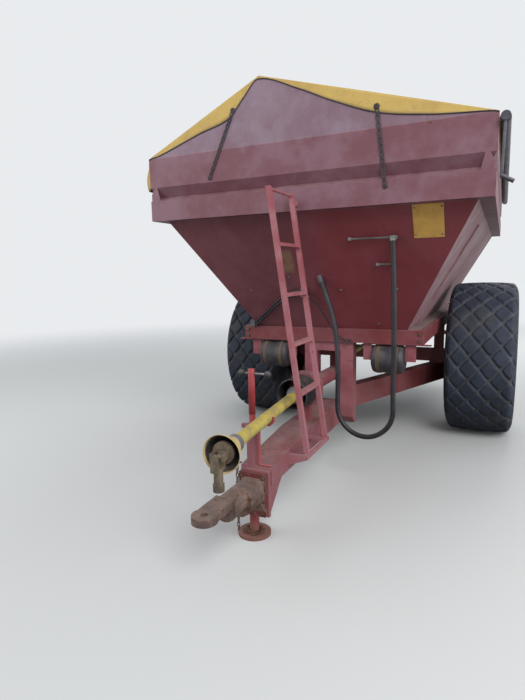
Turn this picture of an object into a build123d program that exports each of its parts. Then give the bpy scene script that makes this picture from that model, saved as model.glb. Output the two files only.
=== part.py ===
# Towed fertilizer spreader: drawbar, V hopper with tarp, belt floor, two spinners and two wheels.
# Millimetres. X to the right seen from the front, Y toward the rear, Z up from the ground.

import math
import os

from build123d import *

# Driving sizes
RIM_WIDTH = 2400
TYRE_R = 724
TYRE_HALF = 295
BEAM_FRONT = -984
HALF_LENGTH = 3011
FRAME_TOP = 1127
RIM_LOW = 1982

# Frame
BEAM_HALF = 747
BEAM_DEPTH = 100
FRAME_DEPTH = 110
FRAME_LOW = FRAME_TOP - FRAME_DEPTH
SILL_IN = BEAM_HALF - 90
SILL_END = 2346
TUBE_WALL = 8
LUG_REACH = 55
LUG_THICK = 6
POST_IN = 100
POST_OUT = 205
POST_FRONT = BEAM_FRONT + 26
POST_BACK = POST_FRONT + 100
POST_FOOT = 342
HEAD_LOW = 940
LEG_DEPTH = 178
LEG_WIDTH = 100
LEG_SPLAY = math.radians(21.6)
TIE_LOW = 957

# Drawbar box
BOX_LOW = 347
BOX_TOP = 513
BOX_BEND = -1690
NOSE_TOP = 447
BOX_WALL = 10
BOX_FRONT = -2322
PLATE_FRONT = BOX_FRONT - 25
PLATE_HALF = 90
PLATE_LOW = 154
PLATE_TOP = 435
WEB_IN = 74
WEB_THICK = 12
WEB_RUN = 190

# Axle and wheels
AXLE_Y = 481
AXLE_HALF_SIDE = 60
AXLE_HALF = BEAM_HALF + 43
SADDLE_IN = AXLE_HALF - 170
SADDLE_OUT = AXLE_HALF - 40
SADDLE_HEIGHT = 16
LEG_TOP = TYRE_R - AXLE_HALF_SIDE - SADDLE_HEIGHT
LEG_LOW = LEG_TOP - LEG_DEPTH
WHEEL_GAP = 65
WHEEL_X = BEAM_HALF + WHEEL_GAP + TYRE_HALF
STUB_R = 40
RUNNING_GAP = 0.05
RIM_R = 337
RIM_HALF = 250
RIM_WALL = 8
FLANGE_R = 350
HUB_R = 95
HUB_BACK = -150
HUB_FACE = 85
DISC_BACK = 30
DISC_FACE = 44
WHEEL_SIDES = 44

# Tread: raised diamonds in seven columns
PITCHES = 22
COLUMNS = (-3, -2, -1, 0, 1, 2, 3)
COLUMN_STEP = 84
TREAD_DEPTH = 20
BLOCK_SHARE = 0.77

# Hopper
SHEET = 5
WALL_FOOT = BEAM_HALF - 121
WALL_HEAD = 1110
FOOT_FLANGE = 84
RIB_Y = -600
RIB_HALF = 20
RIB_HIGH = 12
RIB_LOW = 1145
RIB_TOP = 1911
FRONT_FOOT = BEAM_FRONT + 20
FRONT_HEAD = -1534
REAR_FOOT = 2016
REAR_HEAD = 2216
FLANGE = 90
BAND_FRONT = FRONT_HEAD - FLANGE
BAND_REAR = REAR_HEAD + FLANGE
BAND_HALF = RIM_WIDTH / 2
BAND_TOP = 2130
PANEL_LOW = 2227
PANEL_TOP = 2436
PANEL_REACH = 100
APEX_X = -270
APEX_Z = 2868
RIDGE_R = 25
POLE_SIDES = 12
TARP_THICK = 3
GABLE_THICK = 4
FLAP_LOW = 2210
STRAP_HALF = 13
STRAP_THICK = 4
ROLL_R = 30
ROLL_Z = 2400
CRANK_DROP = 315
CRANK_GRIP = 68

# Belt, outlet and gate
BELT_HALF = SILL_IN - 22
BELT_THICK = 8
ROLLER_R = 40
ROLLER_Z = FRAME_TOP - 5 - BELT_THICK - ROLLER_R
ROLLER_FRONT = -824
ROLLER_REAR = 2266
OUTLET_HALF = 480
OUTLET_TOP = 1377
GATE_HALF = 540
GATE_GAP = 5.5
GATE_THICK = 8
GATE_HEAD = 300
GUIDE_HEAD = 620
SPINDLE_HEAD = 600
SPINDLE_R = 9

# Spinners
SPIN_X = 420
SPIN_Y = 2556
SPIN_R = 340
SPIN_Z = 890
CASE_HALF = 480
CASE_LOW = 740
CASE_TOP = 850
TOWER_TOP = 870
TOWER_HALF = 45
SPIN_PIN = 20
VANES = 4
GUARD_LOW = 1050

# Driveline and its jointed shaft
PIVOT = (0, -1584, 745)
TIP = (130, -2979, 749)
BEARING_Y = -734
BEARING_Z = 730
BELL_R = 110
BELL_WALL = 5
BELL_REACH = 186
HOUSING_HALF = 120
HOUSING_FRONT = 30
HOUSING_BACK = 130
TUBE_R = 57
GUARD_R = 34
GUARD_WALL = 6
GUARD_START = 150
MOUTH_SET = 35
MOUTH_R = 95
CROSS_R = 12
EAR_IN = 18
EAR_OUT = 28
EAR_REACH = 40
YOKE_NECK = -127
YOKE_END = -163
YOKE_BORE = 17.5
YOKE_BORE_TOP = -95
REAR_SHAFT_Z = 820
SEAT_GAP = 0.3
SHAFT_SIDES = 24

# Rest that carries the parked shaft
REST_Y = -2308
REST_R = 7
REST_FOOT = (92, 16)

# Jack and eye
JACK_X = -38
JACK_Y = -2286
JACK_R = 29
SLEEVE_R = 37
SLEEVE_TOP = 690
COLLAR_R = 46
COLLAR_LOW = 664
COLLAR_REACH = 68
STEM_FOOT = 754
STEM_TOP = 1024
STEM_R = 20
BAR_Z = 997
BAR_LEFT = -101
BAR_RIGHT = 67
KNOB_R = 20
FOOT_R = 100
FOOT_THICK = 20
EYE_Y = BEAM_FRONT - 1917
EYE_Z = 393
EYE_HOLE = 20
EYE_R = 66
EYE_HALF = 20
TONGUE_HALF = 58
SHANK_R = 70
SHANK_Z = 350
SHANK_FRONT = -2708
BOSS_R = 86
BOSS_Z = 326
BOSS_FRONT = -2560
BOSS_BACK = -2400
EYE_FLANGE = 30

# Ladder
STILE_FRONT = -2034
STILE_REAR = -1684
STILE = 30
LADDER_FOOT = (211, 460)
LADDER_HEAD = (-22, 2070)
RUNGS = (830, 1135, 1440, 1745)
RAIL_IN = 213
RAIL_OUT = 233
RAIL_DEEP = 25
GUSSET_LOW = 384

# Reservoirs
TANK_X = 480
TANK_Y = -914
TANK_Z = 890
TANK_R = 112
TANK_HALF = 130
TANK_ROUND = 26
TANK_SIDES = 20

# Blank plate on the front wall
BLANK_X = 820
BLANK_UP = 905
BLANK_WIDTH = 188
BLANK_HEIGHT = 236

# Hoses: outer radius, and the routes' points
HOSE_R = 18
HOSE_SIDES = 8
THIN_SIDES = 6
THIN_R = 9
CABLE_R = 5
PAIR_STEP = 26
HOLDER_R = 6
HOLDER_OUT = 26
HOLDERS = (
    # left end, right end, height
    (292, 627, 1792),
    (459, 585, 1619),
)

os.makedirs("parts", exist_ok=True)


def save(shape, name):
    export_step(shape, f"parts/{name}.step")


def save_all(shapes, name):
    save(Compound(label=name, children=list(shapes)), name)


def mirrored(shape):
    return [shape, mirror(shape, Plane.YZ)]


def box(x0, x1, y0, y1, z0, z1):
    size = Box(abs(x1 - x0), abs(y1 - y0), abs(z1 - z0))
    return Pos((x0 + x1) / 2, (y0 + y1) / 2, (z0 + z1) / 2) * size


def rod(start, end, radius, sides=0):
    # A straight bar, round or with the given number of flat sides.
    a = Vector(*start)
    b = Vector(*end)
    plane = Plane(origin=a, z_dir=(b - a).normalized())
    section = RegularPolygon(radius, sides) if sides else Circle(radius)
    return extrude(plane * section, (b - a).length)


def flat(points):
    return make_face(Polyline(*points, close=True))


def across(points, x0, x1):
    return extrude(Plane.YZ.offset(x0) * flat(points), x1 - x0)


def along(points, y0, y1):
    return extrude(Plane.XZ.offset(-y1) * flat(points), y1 - y0)


def upward(points, z0, z1):
    return extrude(Plane.XY.offset(z0) * flat(points), z1 - z0)


def polyhedron(loops):
    faces = []
    for loop in loops:
        faces.append(Face(Wire.make_polygon([Vector(*p) for p in loop])))
    return Solid(Shell(faces))


def around(radius, turn, z):
    return (radius * math.cos(turn), radius * math.sin(turn), z)


def faceted(points, sides):
    # A turned piece about +Z with flat sides, from its half section, given as radius and height.
    step = 2 * math.pi / sides
    loops = []
    for i, (r0, z0) in enumerate(points):
        r1, z1 = points[(i + 1) % len(points)]
        if r0 == 0 and r1 == 0:
            continue
        for k in range(sides):
            a = k * step
            b = (k + 1) * step
            loop = [around(r0, a, z0), around(r1, a, z1)]
            if r1 > 0:
                loop.append(around(r1, b, z1))
            if r0 > 0:
                loop.append(around(r0, b, z0))
            loops.append(loop)
    return polyhedron(loops)


def hexa(low, high):
    loops = [low, high]
    for i in range(4):
        j = (i + 1) % 4
        loops.append([low[i], low[j], high[j], high[i]])
    return polyhedron(loops)


def folded(points, thick):
    # A folded sheet's section: the given line and the same line moved to its left.
    moved = []
    for i, (x, z) in enumerate(points):
        normals = []
        for a, b in ((i - 1, i), (i, i + 1)):
            if a < 0 or b >= len(points):
                continue
            dx = points[b][0] - points[a][0]
            dz = points[b][1] - points[a][1]
            run = math.hypot(dx, dz)
            normals.append((-dz / run, dx / run))
        nx = sum(n[0] for n in normals)
        nz = sum(n[1] for n in normals)
        run = math.hypot(nx, nz)
        reach = thick / (nx * normals[0][0] + nz * normals[0][1]) * run
        moved.append((x + nx / run * reach, z + nz / run * reach))
    return list(points) + moved[::-1]


def hose(points, radius, sides, name):
    # A tube on straight runs joined by the largest tangent arcs that the runs allow.
    corners = []
    for a, b, c in zip(points, points[1:], points[2:]):
        into = Vector(*b) - Vector(*a)
        away = Vector(*c) - Vector(*b)
        half_turn = math.radians(into.get_angle(away)) / 2
        corners.append(0.45 * min(into.length, away.length) / math.tan(half_turn))
    path = FilletPolyline(*points, radius=corners)
    start = Plane(origin=points[0], z_dir=path % 0)
    tube = sweep(start * RegularPolygon(radius, sides), path=path)
    section = sides / 2 * math.sin(2 * math.pi / sides) * radius**2
    print(
        name,
        "length",
        round(path.length),
        "volume share",
        round(tube.volume / (section * path.length), 4),
        "radii",
        [round(r) for r in corners],
    )
    save(tube, name)


# Cross beam with its end lugs, and sills
y1 = BEAM_FRONT + BEAM_DEPTH
beam = box(-BEAM_HALF, BEAM_HALF, BEAM_FRONT, y1, FRAME_LOW, FRAME_TOP)
beam -= box(
    -BEAM_HALF + TUBE_WALL,
    BEAM_HALF - TUBE_WALL,
    BEAM_FRONT + TUBE_WALL,
    y1 - TUBE_WALL,
    FRAME_LOW + TUBE_WALL,
    FRAME_TOP - TUBE_WALL,
)
lug = box(
    BEAM_HALF - LUG_REACH,
    BEAM_HALF + LUG_REACH,
    BEAM_FRONT,
    BEAM_FRONT + LUG_REACH,
    FRAME_LOW - LUG_THICK,
    FRAME_LOW,
)
for piece in mirrored(lug):
    beam += piece
save(beam, "front_crossbeam")

SIDES = ((-1, "left"), (1, "right"))

sill = box(SILL_IN, BEAM_HALF, y1, SILL_END, FRAME_LOW, FRAME_TOP)
sill -= box(
    SILL_IN + TUBE_WALL,
    BEAM_HALF - TUBE_WALL,
    y1,
    SILL_END,
    FRAME_LOW + TUBE_WALL,
    FRAME_TOP - TUBE_WALL,
)
save_all(mirrored(sill), "sills")

# Posts under the cross beam
posts = box(-POST_OUT, POST_OUT, POST_FRONT, POST_BACK, HEAD_LOW, FRAME_LOW)
post = [
    (POST_FRONT, POST_FOOT + 58),
    (POST_FRONT + 50, POST_FOOT),
    (POST_BACK, POST_FOOT),
    (POST_BACK, HEAD_LOW),
    (POST_FRONT, HEAD_LOW),
]
posts += across(post, -POST_OUT, -POST_IN)
posts += across(post, POST_IN, POST_OUT)
save(posts, "front_posts")


# Drawbar box, deeper at the posts, with its front plate, webs and the jack's sleeve
def drawbar_section(wall):
    slope = (BOX_TOP - NOSE_TOP) / (BOX_BEND - BOX_FRONT)
    return [
        (BOX_FRONT + wall, BOX_LOW + wall),
        (POST_BACK - wall, BOX_LOW + wall),
        (POST_BACK - wall, BOX_TOP - wall),
        (BOX_BEND, BOX_TOP - wall),
        (BOX_FRONT + wall, NOSE_TOP - wall + slope * wall),
    ]


drawbar = across(drawbar_section(0), -POST_IN, POST_IN)
drawbar -= across(drawbar_section(BOX_WALL), -POST_IN + BOX_WALL, POST_IN - BOX_WALL)
sleeve_foot = (JACK_X, JACK_Y, BOX_LOW)
drawbar += rod(sleeve_foot, (JACK_X, JACK_Y, SLEEVE_TOP), SLEEVE_R, 16)
drawbar += rod((JACK_X, JACK_Y, COLLAR_LOW), (JACK_X, JACK_Y, SLEEVE_TOP), COLLAR_R, 16)
drawbar += box(
    JACK_X - COLLAR_REACH,
    JACK_X,
    JACK_Y - 12,
    JACK_Y + 12,
    COLLAR_LOW,
    SLEEVE_TOP,
)
drawbar += box(-PLATE_HALF, PLATE_HALF, PLATE_FRONT, BOX_FRONT, PLATE_LOW, PLATE_TOP)
web = [(BOX_FRONT, BOX_LOW), (BOX_FRONT, PLATE_LOW + 11), (BOX_FRONT + WEB_RUN, BOX_LOW)]
drawbar += across(web, -WEB_IN - WEB_THICK, -WEB_IN)
drawbar += across(web, WEB_IN, WEB_IN + WEB_THICK)
drawbar -= rod(
    (JACK_X, JACK_Y, BOX_LOW - 1),
    (JACK_X, JACK_Y, SLEEVE_TOP + 1),
    JACK_R + SEAT_GAP,
)
save(drawbar, "drawbar")

# Legs from the posts out to the axle's ends
leg_end = AXLE_Y + AXLE_HALF_SIDE + 15
reach = (leg_end - POST_BACK) * math.tan(LEG_SPLAY)
width = LEG_WIDTH / math.cos(LEG_SPLAY)
skin = TUBE_WALL / math.cos(LEG_SPLAY)


def leg_plan(trim):
    return [
        (POST_OUT - width + trim, POST_BACK),
        (POST_OUT - trim, POST_BACK),
        (POST_OUT + reach - trim, leg_end),
        (POST_OUT + reach - width + trim, leg_end),
    ]


leg = upward(leg_plan(0), LEG_LOW, LEG_TOP)
leg -= upward(leg_plan(skin), LEG_LOW + TUBE_WALL, LEG_TOP - TUBE_WALL)
save_all(mirrored(leg), "drawbar_legs")

# Axle with saddles and wheel stubs
axle_low = TYRE_R - AXLE_HALF_SIDE
axle_top = TYRE_R + AXLE_HALF_SIDE
axle_front = AXLE_Y - AXLE_HALF_SIDE
axle_back = AXLE_Y + AXLE_HALF_SIDE
axle = box(-AXLE_HALF, AXLE_HALF, axle_front, axle_back, axle_low, axle_top)
axle -= box(
    -AXLE_HALF + 2 * BOX_WALL,
    AXLE_HALF - 2 * BOX_WALL,
    axle_front + BOX_WALL,
    axle_back - BOX_WALL,
    axle_low + BOX_WALL,
    axle_top - BOX_WALL,
)
for side, name in SIDES:
    axle += box(side * SADDLE_IN, side * SADDLE_OUT, axle_front, axle_back, LEG_TOP, axle_low)
    stub = ((side * AXLE_HALF, AXLE_Y, TYRE_R), (side * (WHEEL_X + 25), AXLE_Y, TYRE_R))
    axle += rod(*stub, STUB_R)
save(axle, "axle")

# Bolsters between axle and sills, and the cross ties
bolster_in = SILL_IN + 3
bolster_out = BEAM_HALF - 2
bolster = box(bolster_in, bolster_out, axle_front, axle_back, axle_top, FRAME_LOW)
bolster -= box(
    bolster_in + TUBE_WALL,
    bolster_out - TUBE_WALL,
    axle_front + TUBE_WALL,
    axle_back - TUBE_WALL,
    axle_top,
    FRAME_LOW,
)
save_all(mirrored(bolster), "bolsters")

middle_tie = box(-bolster_in, bolster_in, axle_front, axle_back, TIE_LOW, FRAME_LOW - 5)
rear_tie = box(-BEAM_HALF, BEAM_HALF, REAR_FOOT - 50, REAR_FOOT + 30, TIE_LOW, FRAME_LOW)
save(middle_tie, "middle_tie")
save(rear_tie, "rear_tie")

# Wheels: a drum with lips, and a dished disc with its hub
DRUM = [
    (RIM_R, -RIM_HALF),
    (FLANGE_R, -RIM_HALF - 6),
    (RIM_R - RIM_WALL, -RIM_HALF - 12),
    (RIM_R - RIM_WALL, RIM_HALF + 12),
    (FLANGE_R, RIM_HALF + 6),
    (RIM_R, RIM_HALF),
]
DISC = [
    (RIM_R - 1, DISC_BACK),
    (HUB_R, DISC_BACK + 30),
    (HUB_R, HUB_BACK),
    (0, HUB_BACK),
    (0, HUB_FACE),
    (HUB_R + 5, HUB_FACE),
    (RIM_R - 1, DISC_FACE),
]
# Tyre: its outer line from bead to crown, given as radius and distance from the middle
TYRE_LINE = [
    (TYRE_R, 0),
    (TYRE_R, COLUMN_STEP * BLOCK_SHARE),
    (TYRE_R - 3, 150),
    (TYRE_R - 10, 240),
    (TYRE_R - 32, 268),
    (TYRE_R - 84, TYRE_HALF - 5),
    (TYRE_R - 164, TYRE_HALF),
]
SIDEWALL = [
    (TYRE_R - 124, TYRE_HALF - 1),
    (RIM_R + 113, TYRE_HALF - 12),
    (RIM_R + 15, RIM_HALF + 1),
    (RIM_R, RIM_HALF),
]
CAVITY = [(RIM_R, RIM_HALF - 45), (TYRE_R - 124, TYRE_HALF - 50), (TYRE_R - 52, 150)]


def on_tyre(run, sunk):
    # The point at that distance along the outer line from its middle, moved inward.
    left = abs(run)
    side = 1 if run > 0 else -1
    for (r0, x0), (r1, x1) in zip(TYRE_LINE, TYRE_LINE[1:]):
        length = math.hypot(r1 - r0, x1 - x0)
        if left <= length:
            break
        left -= length
    share = left / length
    inward_r = (x1 - x0) / length
    inward_x = (r0 - r1) / length
    radius = r0 + (r1 - r0) * share - sunk * inward_r
    return radius, side * (x0 + (x1 - x0) * share - sunk * inward_x)


def tread_point(run, sunk, turn):
    radius, x = on_tyre(run, sunk)
    return around(radius, turn, x)


def tread():
    pitch = 2 * math.pi / PITCHES
    last = COLUMNS[-1]
    loops = []
    for column in COLUMNS:
        middle = column * COLUMN_STEP
        for k in range(PITCHES):
            turn = math.pi / 2 + (k + 0.5 * (column % 2)) * pitch
            foot = []
            top = []
            for across_share, around_share in ((0, 0.5), (1, 0), (0, -0.5), (-1, 0)):
                run = middle + across_share * COLUMN_STEP
                sunk = TREAD_DEPTH
                if abs(run) > last * COLUMN_STEP:
                    sunk = 0
                foot.append(tread_point(run, sunk, turn + around_share * pitch))
                run = middle + across_share * COLUMN_STEP * BLOCK_SHARE
                top.append(tread_point(run, 0, turn + around_share * pitch * BLOCK_SHARE))
            loops.append([top[0], top[1], top[3]])
            loops.append([top[1], top[2], top[3]])
            for i in range(4):
                j = (i + 1) % 4
                loops.append([foot[i], foot[j], top[j]])
                loops.append([foot[i], top[j], top[i]])
    # Shoulders from the outer blocks' feet down to the sidewall's first ring
    radius, half = SIDEWALL[0]
    for side in (-1, 1):
        for k in range(PITCHES):
            turn = math.pi / 2 + (k + 0.5) * pitch
            corners = []
            for step in (-0.5, 0, 0.5):
                run = side * (last + 1) * COLUMN_STEP
                low = around(radius, turn + pitch / 2 + step * pitch, side * half)
                sunk = 0
                if step == 0:
                    run = side * last * COLUMN_STEP
                    sunk = TREAD_DEPTH
                corners.append((tread_point(run, sunk, turn + pitch / 2 + step * pitch), low))
            for (a, low_a), (b, low_b) in zip(corners, corners[1:]):
                loops.append([a, b, low_b])
                loops.append([a, low_b, low_a])
    return loops


def rings(line, sides):
    step = 2 * math.pi / sides
    loops = []
    for (r0, x0), (r1, x1) in zip(line, line[1:]):
        for k in range(sides):
            a = k * step
            b = (k + 1) * step
            loops.append([around(r0, a, x0), around(r1, a, x1), around(r1, b, x1), around(r0, b, x0)])
    return loops


tyre_loops = tread()
for side in (-1, 1):
    sidewall = [(r, side * x) for r, x in SIDEWALL + CAVITY]
    tyre_loops += rings(sidewall, WHEEL_SIDES)
tyre_loops += rings([(CAVITY[-1][0], -CAVITY[-1][1]), CAVITY[-1]], WHEEL_SIDES)
tyre = polyhedron(tyre_loops)
hub_bore = rod((0, 0, HUB_BACK - 1), (0, 0, DISC_BACK + 5), STUB_R + RUNNING_GAP)
rim = faceted(DRUM, WHEEL_SIDES) + faceted(DISC, WHEEL_SIDES // 2) - hub_bore
for side, name in SIDES:
    hub = Plane(origin=(side * WHEEL_X, AXLE_Y, TYRE_R), x_dir=(0, 1, 0), z_dir=(side, 0, 0))
    save(hub * rim, f"wheel_rim_{name}")
    save(hub * tyre, f"tyre_{name}")

# Hopper walls, each a full sheet up to the corner it shares
rise = RIM_LOW - FRAME_TOP
lean = (WALL_HEAD - WALL_FOOT) / rise
fall = (FRONT_HEAD - FRONT_FOOT) / rise


def inset(run):
    return SHEET * math.hypot(run, rise) / rise


def side_wall_x(z):
    return WALL_FOOT + lean * (z - FRAME_TOP)


def front_wall_y(z):
    return FRONT_FOOT + fall * (z - FRAME_TOP)


side_in = inset(WALL_HEAD - WALL_FOOT)
front_in = inset(FRONT_FOOT - FRONT_HEAD)
rear_in = inset(REAR_HEAD - REAR_FOOT)


def ring(half, front, rear, z):
    outer = [(-half, front, z), (half, front, z), (half, rear, z), (-half, rear, z)]
    a = half - side_in
    f = front + front_in
    r = rear - rear_in
    return outer, [(-a, f, z), (a, f, z), (a, r, z), (-a, r, z)]


low_out, low_in = ring(WALL_FOOT, FRONT_FOOT, REAR_FOOT, FRAME_TOP)
high_out, high_in = ring(WALL_HEAD, FRONT_HEAD, REAR_HEAD, RIM_LOW)


def wall(i):
    j = (i + 1) % 4
    low = [low_out[i], low_out[j], low_in[j], low_in[i]]
    high = [high_out[i], high_out[j], high_in[j], high_in[i]]
    return hexa(low, high)


save(wall(0), "hopper_front_wall")

foot_ends = (FRONT_FOOT + front_in, REAR_FOOT - rear_in)
out_x = math.cos(math.atan(lean)) * RIB_HIGH
out_z = -math.sin(math.atan(lean)) * RIB_HIGH
for i, side, name in ((1, 1, "right"), (3, -1, "left")):
    panel = wall(i)
    foot_in = side * (WALL_FOOT - 2)
    foot_out = side * (WALL_FOOT + FOOT_FLANGE)
    panel += box(foot_in, foot_out, *foot_ends, FRAME_TOP, FRAME_TOP + SHEET)
    rib = [
        (side * (side_wall_x(RIB_LOW) - 1), RIB_LOW),
        (side * (side_wall_x(RIB_TOP) - 1), RIB_TOP),
        (side * (side_wall_x(RIB_TOP) + out_x), RIB_TOP + out_z),
        (side * (side_wall_x(RIB_LOW) + out_x), RIB_LOW + out_z),
    ]
    panel += along(rib, RIB_Y - RIB_HALF, RIB_Y + RIB_HALF)
    save(panel, f"hopper_{name}_wall")

# Rear wall with its outlet, gate guides and spindle bracket
slope = math.hypot(REAR_HEAD - REAR_FOOT, rise)
up_y = (REAR_HEAD - REAR_FOOT) / slope
up_z = rise / slope


def on_rear(x, up, out):
    y = REAR_FOOT + up * up_y + out * up_z
    z = FRAME_TOP + up * up_z - out * up_y
    return (x, y, z)


def rear_block(x0, x1, up0, up1, out0, out1):
    corner = Vector(*on_rear(x0, up0, out0))
    plane = Plane(origin=corner, x_dir=(1, 0, 0), z_dir=(0, up_z, -up_y))
    face = plane * Pos((x1 - x0) / 2, (up0 - up1) / 2) * Rectangle(x1 - x0, up1 - up0)
    return extrude(face, out1 - out0)


rear_wall = wall(2)
rear_wall -= box(
    -OUTLET_HALF,
    OUTLET_HALF,
    REAR_FOOT - 40,
    REAR_HEAD,
    FRAME_TOP - 5,
    OUTLET_TOP,
)
guide_in = GATE_HALF + 5
guide_lip = GATE_GAP + GATE_THICK + 5
for side, name in SIDES:
    x0, x1 = sorted((side * guide_in, side * (guide_in + 10)))
    rear_wall += rear_block(x0, x1, 5, GUIDE_HEAD, 0, guide_lip + 5)
    x0, x1 = sorted((side * (guide_in - 30), side * (guide_in + 10)))
    rear_wall += rear_block(x0, x1, 5, GUIDE_HEAD, guide_lip, guide_lip + 5)
spindle_out = GATE_GAP + GATE_THICK / 2
rear_wall += rear_block(-25, 25, 562, 592, 0, 30)
spindle_hole = (on_rear(0, 540, spindle_out), on_rear(0, 620, spindle_out))
rear_wall -= rod(*spindle_hole, SPINDLE_R + 0.1)
save(rear_wall, "hopper_rear_wall")

gate = rear_block(-GATE_HALF, GATE_HALF, 4, GATE_HEAD, GATE_GAP, GATE_GAP + GATE_THICK)
spindle = (on_rear(0, GATE_HEAD - 10, spindle_out), on_rear(0, SPINDLE_HEAD, spindle_out))
gate += rod(*spindle, SPINDLE_R)
save(gate, "outlet_gate")

# Rim band, recess and upper panel folded from one sheet on each side
PANEL_LINE = [
    (-FLANGE - 7, RIM_LOW),
    (0, RIM_LOW),
    (0, BAND_TOP),
    (-45, BAND_TOP + 25),
    (0, PANEL_LOW),
    (0, PANEL_TOP),
    (-35, PANEL_TOP),
]
CAP = [(1113, 2125), (1190, 2125), (1190, 2178), (1158, 2232), (1140, 2232)]
panel_section = folded(PANEL_LINE, SHEET)
corner_front = BAND_FRONT + PANEL_REACH
corner_rear = BAND_REAR - PANEL_REACH
corner_x = BAND_HALF - PANEL_REACH
PANEL_ENDS = (
    # face, way out, mitred corners' y
    (BAND_FRONT, -1, corner_front),
    (BAND_REAR, 1, corner_rear),
)
ends = []
for face_y, out, corner_y in PANEL_ENDS:
    plan = [
        (-BAND_HALF, face_y),
        (BAND_HALF, face_y),
        (corner_x, corner_y),
        (-corner_x, corner_y),
    ]
    line = [(face_y + out * o, z) for o, z in panel_section]
    panel = across(line, -BAND_HALF, BAND_HALF) & upward(plan, RIM_LOW - 60, PANEL_TOP + 60)
    ys = sorted((face_y, face_y - out * SHEET))
    panel += along(CAP, *ys)
    panel += along([(-x, z) for x, z in CAP], *ys)
    ends.append(panel)
save_all(ends, "upper_panel_ends")
side_line = [(BAND_HALF + o, z) for o, z in panel_section]
side_plan = [
    (BAND_HALF, BAND_FRONT),
    (BAND_HALF, BAND_REAR),
    (corner_x, corner_rear),
    (corner_x, corner_front),
]
panel = along(side_line, BAND_FRONT, BAND_REAR)
panel &= upward(side_plan, RIM_LOW - 60, PANEL_TOP + 60)
save_all(mirrored(panel), "upper_panel_sides")

# Gables, ridge pole and tarp
ROOF = [(-BAND_HALF, PANEL_TOP), (APEX_X, APEX_Z), (BAND_HALF, PANEL_TOP)]
gable_front = along(ROOF, BAND_FRONT, BAND_FRONT + GABLE_THICK)
gable_rear = along(ROOF, BAND_REAR - GABLE_THICK, BAND_REAR)
save_all([gable_front, gable_rear], "gables")

left_rise = math.atan2(APEX_Z - PANEL_TOP, APEX_X + BAND_HALF)
right_rise = math.atan2(APEX_Z - PANEL_TOP, BAND_HALF - APEX_X)
half_turn = (left_rise + right_rise) / 2
tilt = (left_rise - right_rise) / 2
drop = RIDGE_R / math.cos(half_turn)
ridge_x = APEX_X + drop * math.sin(tilt)
ridge_z = APEX_Z - drop * math.cos(tilt)
ridge_ends = (
    (ridge_x, BAND_FRONT + GABLE_THICK, ridge_z),
    (ridge_x, BAND_REAR - GABLE_THICK, ridge_z),
)
ridge = rod(*ridge_ends, RIDGE_R, POLE_SIDES) - rod(*ridge_ends, RIDGE_R - 4, POLE_SIDES)
save(ridge, "ridge_pole")

HEM = [
    (1150, 2442),
    (831, 2469),
    (515, 2526),
    (224, 2642),
    (30, 2735),
    (-275, 2850),
    (-385, 2750),
    (-503, 2631),
    (-741, 2563),
    (-1098, 2453),
]
roof_line = [
    (BAND_HALF, ROLL_Z - 20),
    (BAND_HALF, PANEL_TOP),
    (APEX_X, APEX_Z),
    (-BAND_HALF, PANEL_TOP),
    (-BAND_HALF, FLAP_LOW),
]
roof_section = folded(roof_line[::-1], TARP_THICK)
tarp = along(roof_section, BAND_FRONT - TARP_THICK, BAND_REAR + TARP_THICK)
valance = ROOF + HEM
tarp += along(valance, BAND_FRONT - TARP_THICK, BAND_FRONT)
tarp += along(valance, BAND_REAR, BAND_REAR + TARP_THICK)
save(tarp, "tarp")

# Straps that hold the tarp's front hem
STRAPS = (
    # head, foot
    ((-470, 2680), (-671, 2255)),
    ((519, 2560), (577, 2090)),
)
strap_back = BAND_FRONT - TARP_THICK
straps = []
for head, foot in STRAPS:
    dx = head[0] - foot[0]
    dz = head[1] - foot[1]
    run = math.hypot(dx, dz)
    nx = dz / run * STRAP_HALF
    nz = -dx / run * STRAP_HALF
    strap = along(
        [
            (head[0] - nx, head[1] - nz),
            (head[0] + nx, head[1] + nz),
            (foot[0] + nx, foot[1] + nz),
            (foot[0] - nx, foot[1] - nz),
        ],
        strap_back - STRAP_THICK,
        strap_back,
    )
    strap += box(
        foot[0] - STRAP_HALF - 1,
        foot[0] + STRAP_HALF + 1,
        strap_back - STRAP_THICK,
        BAND_FRONT,
        foot[1] - 12,
        foot[1] + 20,
    )
    straps.append(strap)
save_all(straps, "tarp_straps")

# Tarp roll along the right side and its crank
roll_x = BAND_HALF + TARP_THICK + ROLL_R
crank_y = BAND_FRONT - 6
roll = rod((roll_x, crank_y, ROLL_Z), (roll_x, BAND_REAR + 6, ROLL_Z), ROLL_R, POLE_SIDES)
roll += rod((roll_x, crank_y - 36, ROLL_Z), (roll_x, crank_y, ROLL_Z), 26, POLE_SIDES)
arm_y = crank_y - 20
arm_foot = (roll_x - 7, arm_y, ROLL_Z - CRANK_DROP)
roll += rod((roll_x, arm_y, ROLL_Z), arm_foot, 9, 8)
grip_start = (arm_foot[0] - 4, arm_y, arm_foot[2] + 3)
grip_end = (arm_foot[0] - 4 + CRANK_GRIP, arm_y, arm_foot[2] - 35)
roll += rod(grip_start, grip_end, 12, 8)
save(roll, "tarp_roll")

# Belt floor and its rollers
belt_plane = Plane(
    origin=(-BELT_HALF, (ROLLER_FRONT + ROLLER_REAR) / 2, ROLLER_Z),
    x_dir=(0, 1, 0),
    z_dir=(1, 0, 0),
)
centres = ROLLER_REAR - ROLLER_FRONT
loop = SlotCenterToCenter(centres, 2 * (ROLLER_R + BELT_THICK))
loop -= SlotCenterToCenter(centres, 2 * ROLLER_R)
save(extrude(belt_plane * loop, 2 * BELT_HALF), "floor_belt")
rollers = []
for y in (ROLLER_FRONT, ROLLER_REAR):
    rollers.append(rod((-SILL_IN, y, ROLLER_Z), (SILL_IN, y, ROLLER_Z), ROLLER_R, 16))
save_all(rollers, "belt_rollers")

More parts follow.
